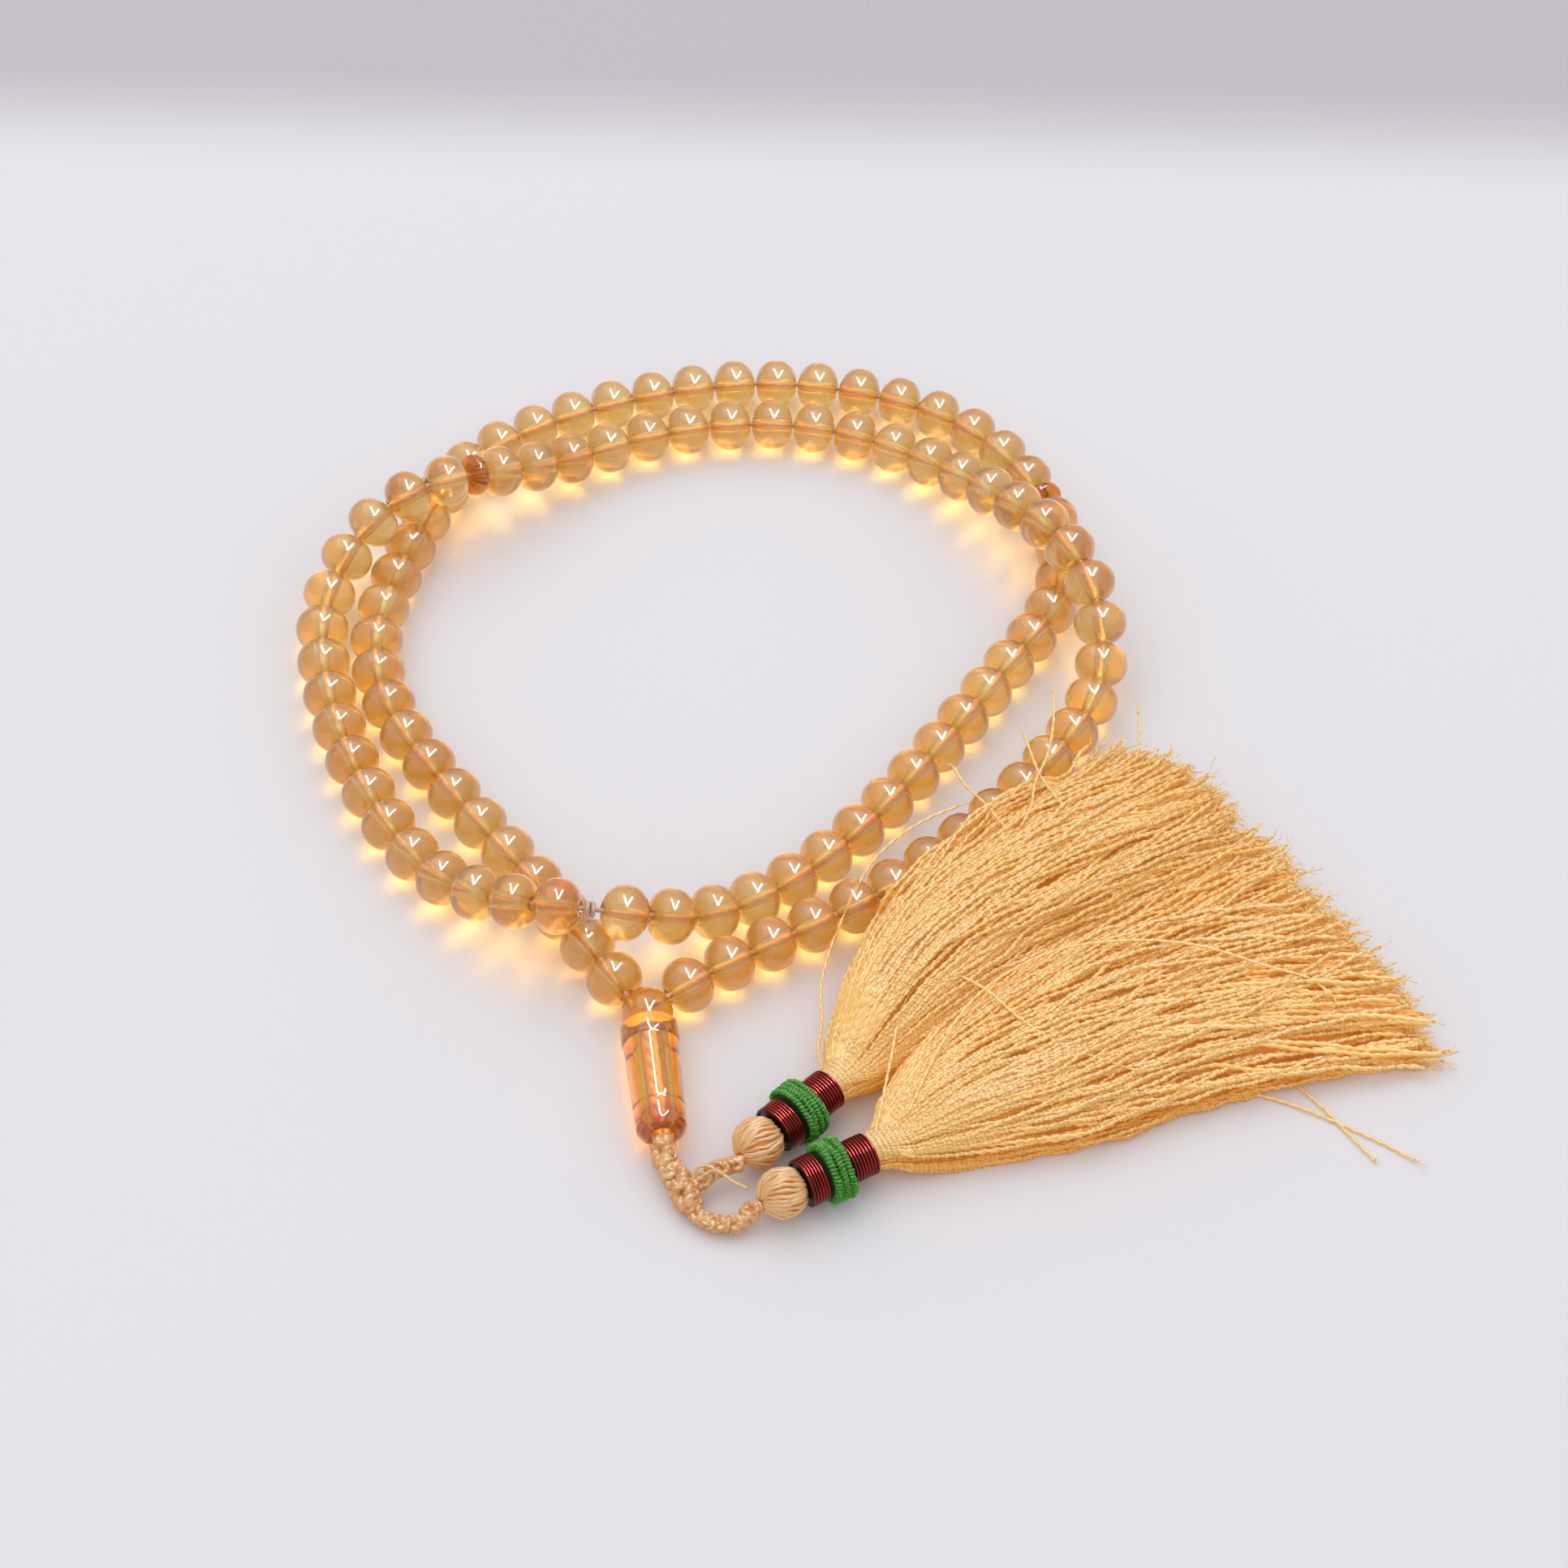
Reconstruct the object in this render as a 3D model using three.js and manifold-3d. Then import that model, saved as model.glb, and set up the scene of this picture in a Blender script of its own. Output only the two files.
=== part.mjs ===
// A string of prayer beads lying in a double loop, with its imam bead, knotted silk cord and two tassels.
// Millimetres, +Z up. The floor that it lies on is z = 0.
import * as THREE from 'three';
import { mergeVertices } from 'three/addons/utils/BufferGeometryUtils.js';
import Module from 'manifold-3d';

const wasm = await Module();
wasm.setup();

// Counting beads
const BEAD_DIAMETER = 8.0;
const BEAD_LENGTH = 6.65;
const BEAD_BORE_RADIUS = 0.75;
const BEAD_FULLNESS = 2.2; // exponent of the superellipse that the bead's outline follows: 2 is an ellipse
const BEAD_SIDES = 10;
const JOINED_GAP = 0.15; // between beads joined in one solid by a waist round the bore
const LOOSE_GAP = 0.25;

// What is on the thread, in order: 1 is a bead by itself, 3 a row of joined beads
const FIRST_THIRD = [1, 3, 3, 3, 3, 3, 3, 3, 3, 3, 3, 1, 1];
const MIDDLE_THIRD_TO_KNOT = [3, 3, 3, 3, 3, 1, 1, 1];
const MIDDLE_THIRD_FROM_KNOT = [1, 1, 3, 3, 3, 3, 3];
const LAST_THIRD = [1, 3, 3, 3, 3, 3, 3, 3, 3, 3, 3, 1, 1];

// Separators, thread and its knot
const SEPARATOR_DIAMETER = 6.4;
const SEPARATOR_LENGTH = 2.8;
const THREAD_RADIUS = 0.4;
const KNOT_RADIUS = 1.1;
const KNOT_LENGTH = 1.4;
const KNOT_CLEARANCE = 0.15;

// Imam bead: a domed head, a collar and a tapering barrel with one groove near its foot
const DOME_RADIUS = 3.9;
const NECK_RADIUS = 3.45;
const COLLAR_RADIUS = 4.0;
const COLLAR_LENGTH = 3.4;
const BARREL_TOP_RADIUS = 3.8;
const BARREL_FOOT_RADIUS = 3.45;
const IMAM_LENGTH = 24.0;
const GROOVE_FROM_FOOT = 4.2;
const GROOVE_DEPTH = 0.25;
const GROOVE_WIDTH = 0.4;
const FOOT_FILLET = 1.6;
const IMAM_BORE_RADIUS = 1.5;
const IMAM_SIDE_BORE_RADIUS = 0.85;
const IMAM_SIDES = 20;

// Knotted silk cord
const CORD_CORE_RADIUS = 1.1; // the twisted part inside the imam
const STEM_RADIUS = 1.8;
const BRANCH_RADIUS = 1.3;
const CORD_SIDES = 8;

// Tassels, measured along each tassel's axis from the centre of its knob
const KNOB_RADIUS = 3.4;
const TASSEL_AXIS_HEIGHT = 4.3;
const NECK_CORE_RADIUS = 2.2;
const PIECE_GAP = 0.3;
const LOWER_WRAP_LENGTH = 2.9;
const LOWER_WRAP_RADIUS = 3.45;
const RING_LENGTH = 3.2;
const RING_RADIUS = 4.25;
const RING_ROWS = 4;
const UPPER_WRAP_LENGTH = 4.0;
const UPPER_WRAP_RADIUS = 3.0;
const TASSEL_SIDES = 16;
const SKIRT_LENGTH = 81;
const FRONT_SKIRT_HEIGHT = 9.0;
const REAR_SKIRT_HEIGHT = 13.0;
const SKIRT_GAP = 0.8;

const GAP = 0.3; // what meeting pieces keep between them
const BEAD_RADIUS = BEAD_DIAMETER / 2;
const UP = new THREE.Vector3(0, 0, 1);
const Y_AXIS = new THREE.Vector3(0, 1, 0);

// Where the imam lies: the top of its dome, and the way its axis points
const IMAM_TOP = new THREE.Vector3(-25.6, -46.7, 4.15);
const IMAM_DIRECTION = new THREE.Vector3(4.0, -23.6, -0.45).normalize();
const DOME_CENTRE = IMAM_TOP.clone().addScaledVector(IMAM_DIRECTION, DOME_RADIUS);

// The thread's route, chosen by hand: out of the left of the dome, twice round, and in at its right.
// x and y are millimetres; the third number is the height in bead radii, 1 on the floor and
// near 3 where the strand climbs over itself.
const ROUTE = [
  [-26.2, -49.9, 1.02], [-29.7, -44.9, 1], [-41.5, -29, 1], [-54.6, -13.3, 1], [-66, 2.6, 1],
  [-70.3, 16.7, 1], [-67.7, 36.8, 1], [-61.6, 55.6, 1], [-51.4, 66, 1], [-32.8, 75.7, 1],
  [-12.7, 80.3, 1], [7.9, 77.5, 1], [20.3, 70.5, 1], [28.9, 59.2, 1], [33.1, 46.8, 1],
  [32, 33, 1], [24.2, 18.4, 1], [14.1, 1.3, 1], [3.1, -15.2, 1], [-9.5, -28.4, 1.1],
  [-19.5, -35.3, 1.7], [-29.2, -38.2, 2.65], [-37.2, -38.5, 2.9], [-44.6, -36.2, 2.3], [-52.6, -31.2, 1.4],
  [-59.6, -25, 1.02], [-70.3, -8, 1], [-77, 10.2, 1], [-78.8, 23, 1.08], [-76.9, 31, 1.65],
  [-72.8, 37.3, 2.5], [-66.8, 42, 3], [-60.3, 46.3, 2.85], [-53.6, 51.6, 2.1], [-46.3, 57.2, 1.35],
  [-32, 66.1, 1], [-15, 70.4, 1], [-1, 69.2, 1], [9.6, 64.6, 1.1], [18.2, 57.4, 1.6],
  [26, 47.8, 2.5], [31.1, 40.9, 2.98], [35, 34.7, 2.95], [37.9, 27.6, 2.35], [38.8, 19.5, 1.5],
  [37.2, 12, 1.1], [33.2, 4.4, 1], [22.1, -11.5, 1], [7.6, -25.9, 1], [-9, -37.3, 1],
  [-20.4, -45.4, 1], [-24.6, -49.6, 1.02],
];

// The knotted cord's routes: x and y from the foot of the imam, and z from the floor
const IMAM_FOOT = IMAM_TOP.clone().addScaledVector(IMAM_DIRECTION, IMAM_LENGTH);
const fromFoot = ([x, y, z]) => [IMAM_FOOT.x + x, IMAM_FOOT.y + y, z];
const STEM_ROUTE = [[0.39, -2.44, 3.45], [1.19, -4.24, 2.6], [2.39, -6.24, 2.0],
  [4.09, -8.64, 1.9]].map(fromFoot);
const FRONT_BRANCH_ROUTE = [[4.59, -9.34, 1.8], [6.39, -11.54, 1.5], [8.89, -12.64, 1.5],
  [11.19, -11.94, 2.2], [12.99, -10.54, 3.3]].map(fromFoot);
const REAR_BRANCH_ROUTE = [[5.19, -5.64, 2.2], [6.59, -4.34, 2.4], [8.09, -3.64, 2.8],
  [9.59, -3.04, 3.5]].map(fromFoot);

// Tassels: the centre of each knob on the floor plan, and the way the tassel points
const FRONT_TASSEL = { x: IMAM_FOOT.x + 16.19, y: IMAM_FOOT.y - 8.44, heading: 32 };
const REAR_TASSEL = { x: IMAM_FOOT.x + 12.69, y: IMAM_FOOT.y - 0.64, heading: 46 };

// Skirt outlines: [share of the skirt's length, distance from the tassel's axis in millimetres]
const FRONT_SKIRT_LEFT = [[0, 2.6], [0.07, 7], [0.2, 14], [0.45, 19.5], [0.75, 21.5], [0.93, 21]];
const FRONT_SKIRT_RIGHT = [[0, -2.6], [0.15, -6], [0.35, -10.5], [0.6, -12.5], [0.85, -17], [0.97, -19.5]];
const REAR_SKIRT_LEFT = [[0, 2.6], [0.13, 9.5], [0.25, 14.5], [0.4, 16.5], [0.65, 16.5], [0.87, 13.5]];
const REAR_SKIRT_RIGHT = [[0, -2.6], [0.15, -3.5], [0.4, -4.5], [0.7, -9], [0.92, -11]];

// ---- Solids ----

// Welds a geometry's shared vertices, drops its slivers and turns its faces outward.
function weld(geometry) {
  const bare = geometry.clone();
  bare.deleteAttribute('normal');
  bare.deleteAttribute('uv');
  const welded = mergeVertices(bare, 1e-4);
  const position = welded.attributes.position;
  const index = welded.index.array;
  const corner = [new THREE.Vector3(), new THREE.Vector3(), new THREE.Vector3()];
  const kept = [];
  let volume = 0;
  for (let t = 0; t < index.length; t += 3) {
    const [a, b, c] = [index[t], index[t + 1], index[t + 2]];
    if (a === b || b === c || c === a) continue;
    kept.push(a, b, c);
    [a, b, c].forEach((v, k) => corner[k].fromBufferAttribute(position, v));
    volume += corner[0].dot(corner[1].clone().cross(corner[2]));
  }
  if (volume < 0) {
    for (let t = 0; t < kept.length; t += 3) [kept[t + 1], kept[t + 2]] = [kept[t + 2], kept[t + 1]];
  }
  welded.setIndex(kept);
  return welded;
}

function toManifold(geometry) {
  const welded = weld(geometry);
  return new wasm.Manifold(new wasm.Mesh({
    numProp: 3,
    vertProperties: new Float32Array(welded.attributes.position.array),
    triVerts: new Uint32Array(welded.index.array),
  }));
}

function fromManifold(manifold) {
  const mesh = manifold.getMesh();
  const geometry = new THREE.BufferGeometry();
  geometry.setAttribute('position', new THREE.BufferAttribute(new Float32Array(mesh.vertProperties), 3));
  geometry.setIndex(Array.from(mesh.triVerts));
  return geometry;
}

// Turns an outline of [radius, distance] pairs round the y axis.
function turned(outline, sides) {
  return new THREE.LatheGeometry(outline.map(([r, y]) => new THREE.Vector2(r, y)), sides);
}

// A turned piece laid along a direction, with its own y = 0 at a point.
function along(geometry, origin, direction) {
  const turn = new THREE.Quaternion().setFromUnitVectors(Y_AXIS, direction);
  return geometry.clone().applyQuaternion(turn).translate(origin.x, origin.y, origin.z);
}

// A ring-shaped piece: an outside outline from low to high y, closed by a straight bore.
function sleeve(outside, bore, sides) {
  const [first, last] = [outside[0], outside[outside.length - 1]];
  return turned([[bore, first[1]], ...outside, [bore, last[1]], [bore, first[1]]], sides);
}

function roundSection(radius, sides) {
  const corners = [];
  for (let k = 0; k < sides; k++) {
    const angle = (2 * Math.PI * k) / sides;
    corners.push(new THREE.Vector2(radius * Math.cos(angle), radius * Math.sin(angle)));
  }
  return new THREE.Shape(corners);
}

function tube(curve, radius, steps) {
  return new THREE.ExtrudeGeometry(roundSection(radius, CORD_SIDES), { steps, extrudePath: curve });
}

function curveThrough(points) {
  const curve = new THREE.CatmullRomCurve3(points.map((p) => new THREE.Vector3(...p)), false, 'centripetal');
  curve.arcLengthDivisions = 2000;
  return curve;
}

// ---- The strand: stations along the thread between which every bead sits straight ----

const route = curveThrough(ROUTE.map(([x, y, lift]) => [x, y, lift * BEAD_RADIUS]));
const routeLength = route.getLength();
const strandStart = DOME_RADIUS - 0.8;

// A place on the thread, no lower than beads on the floor let it be.
function pointAt(distance) {
  const point = route.getPointAt(THREE.MathUtils.clamp(distance / routeLength, 0, 1));
  point.z = Math.max(point.z, BEAD_RADIUS + 0.02);
  return point;
}

function lengthOf(list) {
  const loose = list.length * LOOSE_GAP;
  return list.reduce((sum, n) => sum + n * BEAD_LENGTH + (n - 1) * JOINED_GAP, loose);
}

const separatorRoom = SEPARATOR_LENGTH + LOOSE_GAP;
const sequence = [
  ...FIRST_THIRD.map((beads) => ({ beads })), { separator: 'separator_a' },
  ...MIDDLE_THIRD_TO_KNOT.map((beads) => ({ beads })), { knot: true },
  ...MIDDLE_THIRD_FROM_KNOT.map((beads) => ({ beads })), { separator: 'separator_b' },
  ...LAST_THIRD.map((beads) => ({ beads })),
];
const room = routeLength - 2 * strandStart;

// Beads that the thread has no room for are left off its last third.
function strandLength(items) {
  return lengthOf(items.filter((i) => i.beads).map((i) => i.beads)) +
    items.filter((i) => i.separator).length * separatorRoom;
}
while (strandLength(sequence) + KNOT_LENGTH + 2 * KNOT_CLEARANCE > room) sequence.pop();
const knotRoom = room - strandLength(sequence);

// Walks along the thread and gives each item the two stations, or rows of stations, that it sits between.
let distance = strandStart;
const stations = [pointAt(0), pointAt(distance)];
for (const item of sequence) {
  if (item.beads) {
    const row = [pointAt(distance)];
    for (let k = 1; k <= item.beads; k++) {
      distance += BEAD_LENGTH + (k < item.beads ? JOINED_GAP : LOOSE_GAP);
      row.push(pointAt(distance));
    }
    item.row = row;
    stations.push(...row.slice(1));
  } else {
    const from = pointAt(distance);
    distance += item.separator ? separatorRoom : knotRoom;
    item.row = [from, pointAt(distance)];
    stations.push(item.row[1]);
  }
}
stations.push(pointAt(routeLength));

// The thread is straight inside each bead and bends between beads.
class Chain extends THREE.Curve {
  constructor(points) {
    super();
    this.points = points;
  }

  getPoint(t, target = new THREE.Vector3()) {
    const place = THREE.MathUtils.clamp(t, 0, 1) * (this.points.length - 1);
    const k = Math.min(Math.floor(place), this.points.length - 2);
    return target.lerpVectors(this.points[k], this.points[k + 1], place - k);
  }

  getUtoTmapping(u) {
    return u;
  }
}

// ---- Beads ----

// Outside of one bead, as [radius, distance from the bead's middle].
function beadOutline() {
  const power = 2 / BEAD_FULLNESS;
  return [-70, -35, 0, 35, 70].map((degrees) => {
    const angle = THREE.MathUtils.degToRad(degrees);
    const fromMiddle = Math.sign(degrees) * (BEAD_LENGTH / 2) * Math.abs(Math.sin(angle)) ** power;
    return [BEAD_RADIUS * Math.cos(angle) ** power, fromMiddle];
  });
}

function frameOf(from, to) {
  const direction = to.clone().sub(from).normalize();
  const side = direction.clone().cross(UP).normalize();
  const up = side.clone().cross(direction);
  return { direction, side, up };
}

// A row of joined beads: turned straight, with a waist between neighbours, then bent to the thread.
function beadRow(row) {
  const count = row.length - 1;
  const pitch = BEAD_LENGTH + JOINED_GAP;
  const outside = [];
  for (let k = 0; k < count; k++) {
    const middle = (k + 0.5) * pitch;
    outside.push(...beadOutline().map(([r, y]) => [r, middle + y]));
  }
  const ends = [JOINED_GAP / 2, count * pitch - JOINED_GAP / 2];
  const bore = [];
  for (let k = count - 1; k > 0; k--) bore.push([BEAD_BORE_RADIUS, k * pitch]);
  const profile = [[BEAD_BORE_RADIUS, ends[0]], ...outside, [BEAD_BORE_RADIUS, ends[1]], ...bore,
    [BEAD_BORE_RADIUS, ends[0]]];
  const geometry = turned(profile, BEAD_SIDES);
  const position = geometry.attributes.position;
  const vertex = new THREE.Vector3();
  for (let v = 0; v < position.count; v++) {
    vertex.fromBufferAttribute(position, v);
    const k = Math.min(Math.floor(vertex.y / pitch), count - 1);
    const { direction, side, up } = frameOf(row[k], row[k + 1]);
    const middle = row[k].clone().lerp(row[k + 1], 0.5);
    const placed = middle.addScaledVector(direction, vertex.y - (k + 0.5) * pitch)
      .addScaledVector(side, vertex.x).addScaledVector(up, vertex.z);
    position.setXYZ(v, placed.x, placed.y, placed.z);
  }
  return geometry;
}

// A bead by itself or a separator: turned about its own y axis, and laid along the thread.
function looseBead(outline) {
  return sleeve(outline, BEAD_BORE_RADIUS, BEAD_SIDES);
}

function separatorOutline() {
  const half = SEPARATOR_LENGTH / 2;
  const radius = SEPARATOR_DIAMETER / 2;
  return [[radius * 0.6, -half], [radius * 0.93, -half * 0.55], [radius, 0], [radius * 0.93, half * 0.55],
    [radius * 0.6, half]];
}

function knotOutline() {
  const half = KNOT_LENGTH / 2;
  return [[KNOT_RADIUS * 0.85, -half], [KNOT_RADIUS, 0], [KNOT_RADIUS * 0.85, half]];
}

// ---- Imam ----

function imamOutline() {
  const outline = [];
  const neckDistance = DOME_RADIUS + Math.sqrt(DOME_RADIUS ** 2 - NECK_RADIUS ** 2);
  const neckAngle = Math.acos((DOME_RADIUS - neckDistance) / DOME_RADIUS);
  const domeSteps = 7;
  for (let k = 0; k <= domeSteps; k++) {
    const angle = (neckAngle * k) / domeSteps;
    outline.push([DOME_RADIUS * Math.sin(angle), DOME_RADIUS * (1 - Math.cos(angle))]);
  }
  outline[0][0] = 0;
  const collarStart = neckDistance + 0.15;
  const collarEnd = collarStart + COLLAR_LENGTH;
  const grooveMiddle = IMAM_LENGTH - GROOVE_FROM_FOOT;
  const grooveRadius = THREE.MathUtils.mapLinear(grooveMiddle, collarEnd, IMAM_LENGTH,
    BARREL_TOP_RADIUS, BARREL_FOOT_RADIUS);
  const half = GROOVE_WIDTH / 2;
  outline.push([COLLAR_RADIUS - 0.25, collarStart], [COLLAR_RADIUS, collarStart + 0.8],
    [COLLAR_RADIUS, collarEnd - 0.8], [BARREL_TOP_RADIUS, collarEnd - 0.1],
    [grooveRadius, grooveMiddle - half], [grooveRadius - GROOVE_DEPTH, grooveMiddle],
    [grooveRadius, grooveMiddle + half]);
  for (let k = 0; k <= 3; k++) {
    const angle = (Math.PI / 2) * (k / 3);
    outline.push([BARREL_FOOT_RADIUS - FOOT_FILLET * (1 - Math.cos(angle)),
      IMAM_LENGTH - FOOT_FILLET * (1 - Math.sin(angle))]);
  }
  outline.push([0, IMAM_LENGTH]);
  return outline;
}

function rod(radius, from, to, sides) {
  return along(turned([[0, 0], [radius, 0], [radius, from.distanceTo(to)], [0, from.distanceTo(to)]], sides),
    from, to.clone().sub(from).normalize());
}

function imamGeometry() {
  const body = toManifold(along(turned(imamOutline(), IMAM_SIDES), IMAM_TOP, IMAM_DIRECTION));
  const beyondFoot = IMAM_TOP.clone().addScaledVector(IMAM_DIRECTION, IMAM_LENGTH + 1);
  const boreTop = DOME_CENTRE.clone().addScaledVector(IMAM_DIRECTION, -0.6);
  let shape = body.subtract(toManifold(rod(IMAM_BORE_RADIUS, boreTop, beyondFoot, 12)));
  for (const [inner, outer] of [[stations[0], stations[1]], [stations.at(-1), stations.at(-2)]]) {
    const way = outer.clone().sub(inner).normalize();
    const from = inner.clone().addScaledVector(way, -0.9);
    const to = inner.clone().addScaledVector(way, DOME_RADIUS + 4);
    shape = shape.subtract(toManifold(rod(IMAM_SIDE_BORE_RADIUS, from, to, 10)));
  }
  return fromManifold(shape);
}

// ---- Knotted cord ----

// The stem: a thin twisted core up the imam's bore, and the thicker knotted cord below its foot.
function stemGeometry() {
  const coreTop = DOME_CENTRE.clone().addScaledVector(IMAM_DIRECTION, 1.6);
  const coreEnd = IMAM_FOOT.clone().addScaledVector(IMAM_DIRECTION, 4 * GAP);
  const core = toManifold(rod(CORD_CORE_RADIUS, coreTop, coreEnd, CORD_SIDES));
  const start = IMAM_FOOT.clone().addScaledVector(IMAM_DIRECTION, 3 * GAP);
  const knotted = tube(curveThrough([start.toArray(), ...STEM_ROUTE]), STEM_RADIUS, 5);
  return fromManifold(core.add(toManifold(knotted)));
}

// ---- Tassels: made along +x from the knob's centre, and placed by their group ----

const lowerWrapStart = KNOB_RADIUS * 0.8;
const ringStart = lowerWrapStart + LOWER_WRAP_LENGTH + PIECE_GAP;
const upperWrapStart = ringStart + RING_LENGTH + PIECE_GAP;
const neckEnd = upperWrapStart + UPPER_WRAP_LENGTH + PIECE_GAP;
const neckBore = NECK_CORE_RADIUS + PIECE_GAP;

// Turned pieces lie along +x at the height of the tassel's axis.
function layAlongX(geometry) {
  return geometry.rotateZ(-Math.PI / 2).translate(0, 0, TASSEL_AXIS_HEIGHT);
}

// The silk-covered head: a ball, cut flat where the first wrap grips the neck below it.
function knobGeometry() {
  const flat = lowerWrapStart - PIECE_GAP;
  const last = Math.acos(flat / KNOB_RADIUS);
  const outline = [];
  for (let k = 0; k <= 8; k++) {
    const angle = Math.PI + ((last - Math.PI) * k) / 8;
    outline.push([Math.max(0, KNOB_RADIUS * Math.sin(angle)), KNOB_RADIUS * Math.cos(angle)]);
  }
  outline[0][0] = 0;
  outline.push([0, flat]);
  return layAlongX(turned(outline, TASSEL_SIDES));
}

function wrapGeometry(start, length, radius) {
  const edge = 0.25;
  return layAlongX(sleeve([[radius - edge, start], [radius, start + edge], [radius, start + length - edge],
    [radius - edge, start + length]], neckBore, TASSEL_SIDES));
}

// The ribbed ring: rows of cord side by side round the neck.
function ringGeometry() {
  const row = RING_LENGTH / RING_ROWS;
  const dip = 0.25;
  const outline = [[RING_RADIUS - dip, ringStart]];
  for (let k = 0; k < RING_ROWS; k++) {
    outline.push([RING_RADIUS, ringStart + (k + 0.5) * row], [RING_RADIUS - dip, ringStart + (k + 1) * row]);
  }
  return layAlongX(sleeve(outline, neckBore, TASSEL_SIDES));
}

function skirtPlan(left, right, grow) {
  const atEdge = (sign) => ([share, offset]) => [neckEnd + share * SKIRT_LENGTH, offset + sign * grow];
  const tip = [neckEnd + SKIRT_LENGTH + grow, (left.at(-1)[1] + right.at(-1)[1]) * 0.3];
  const outline = [...right.map(atEdge(-1)), tip, ...left.map(atEdge(1)).reverse()];
  return new THREE.Shape(outline.map(([x, y]) => new THREE.Vector2(x, y)));
}

// Side view of a skirt, as [share of its length, height of its top].
function skirtSide(height) {
  const neckTop = TASSEL_AXIS_HEIGHT + NECK_CORE_RADIUS + 0.6;
  const tops = [[0, neckTop], [0.2, height * 0.9], [0.45, height], [0.75, height * 0.92],
    [1.02, height * 0.5]];
  const outline = tops.map(([share, top]) => new THREE.Vector2(neckEnd + share * SKIRT_LENGTH, top));
  outline.push(new THREE.Vector2(neckEnd + 1.02 * SKIRT_LENGTH, 0));
  outline.push(new THREE.Vector2(neckEnd + 0.06 * SKIRT_LENGTH, 0));
  outline.push(new THREE.Vector2(neckEnd, TASSEL_AXIS_HEIGHT - NECK_CORE_RADIUS - 0.6));
  return new THREE.Shape(outline);
}

function extruded(shape, depth) {
  return new THREE.ExtrudeGeometry(shape, { depth, bevelEnabled: false });
}

// The silk threads of a tassel, with the bundle that runs up through the neck to the knob.
function skirtSolid(left, right, height) {
  const plan = toManifold(extruded(skirtPlan(left, right, 0), height + 2).translate(0, 0, -1));
  const side = toManifold(extruded(skirtSide(height), 120).rotateX(Math.PI / 2).translate(0, 60, 0));
  const neck = layAlongX(turned([[0, lowerWrapStart], [NECK_CORE_RADIUS, lowerWrapStart],
    [NECK_CORE_RADIUS, neckEnd + 3], [0, neckEnd + 3]], TASSEL_SIDES));
  return plan.intersect(side).add(toManifold(neck));
}

function placement({ x, y, heading }) {
  return new THREE.Matrix4().makeRotationZ(THREE.MathUtils.degToRad(heading)).setPosition(x, y, 0);
}

const frontPlace = placement(FRONT_TASSEL);
const rearPlace = placement(REAR_TASSEL);

// Room for a strand of beads under a skirt: a straight-sided slot up to the beads' middle, with a round top.
function strandRoom(points) {
  const reach = BEAD_RADIUS + 0.6;
  const left = [];
  const right = [];
  points.forEach((point, k) => {
    const before = points[Math.max(k - 1, 0)];
    const after = points[Math.min(k + 1, points.length - 1)];
    const { side } = frameOf(new THREE.Vector3(before.x, before.y, 0),
      new THREE.Vector3(after.x, after.y, 0));
    left.push(new THREE.Vector2(point.x - side.x * reach, point.y - side.y * reach));
    right.push(new THREE.Vector2(point.x + side.x * reach, point.y + side.y * reach));
  });
  const slot = extruded(new THREE.Shape([...right, ...left.reverse()]), BEAD_RADIUS + 1).translate(0, 0, -1);
  const vault = new THREE.ExtrudeGeometry(roundSection(reach, 12), {
    steps: points.length - 1, extrudePath: new Chain(points),
  });
  return toManifold(slot).add(toManifold(vault));
}

function frontSkirtGeometry() {
  return fromManifold(skirtSolid(FRONT_SKIRT_LEFT, FRONT_SKIRT_RIGHT, FRONT_SKIRT_HEIGHT));
}

// The rear skirt keeps clear of the front one beside it, and of the strand that it lies over.
function rearSkirtGeometry() {
  const whole = skirtSolid(REAR_SKIRT_LEFT, REAR_SKIRT_RIGHT, REAR_SKIRT_HEIGHT);
  const toRear = rearPlace.clone().invert();
  const beside = extruded(skirtPlan(FRONT_SKIRT_LEFT, FRONT_SKIRT_RIGHT, SKIRT_GAP), REAR_SKIRT_HEIGHT + 4)
    .translate(0, 0, -2).applyMatrix4(frontPlace).applyMatrix4(toRear);
  const under = stations.slice(-18, -2).map((p) => p.clone().applyMatrix4(toRear));
  return fromManifold(whole.subtract(toManifold(beside)).subtract(strandRoom(under)));
}

// ---- Assembly ----

function finish(color, roughness, metalness = 0) {
  return { color, roughness, metalness };
}
const RESIN = finish(0xd9a441, 0.15);
const ORANGE_RESIN = finish(0xc0701c, 0.15);
const SILK = finish(0xf3d3a0, 0.55);
const WIRE = finish(0x8a2a2c, 0.3, 0.9);
const GREEN_SILK = finish(0x1c7a2a, 0.8);

const prayerBeads = new THREE.Group();

function addMesh(group, name, geometry, look) {
  const mesh = new THREE.Mesh(weld(geometry), new THREE.MeshStandardMaterial(look));
  mesh.geometry.computeVertexNormals();
  mesh.name = name;
  group.add(mesh);
  return mesh;
}

function layOnThread(mesh, [from, to]) {
  mesh.position.copy(from).lerp(to, 0.5);
  mesh.quaternion.setFromUnitVectors(Y_AXIS, to.clone().sub(from).normalize());
}

const threadSteps = stations.length - 1;
addMesh(prayerBeads, 'thread', tube(new Chain(stations), THREAD_RADIUS, threadSteps), SILK);

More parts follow.
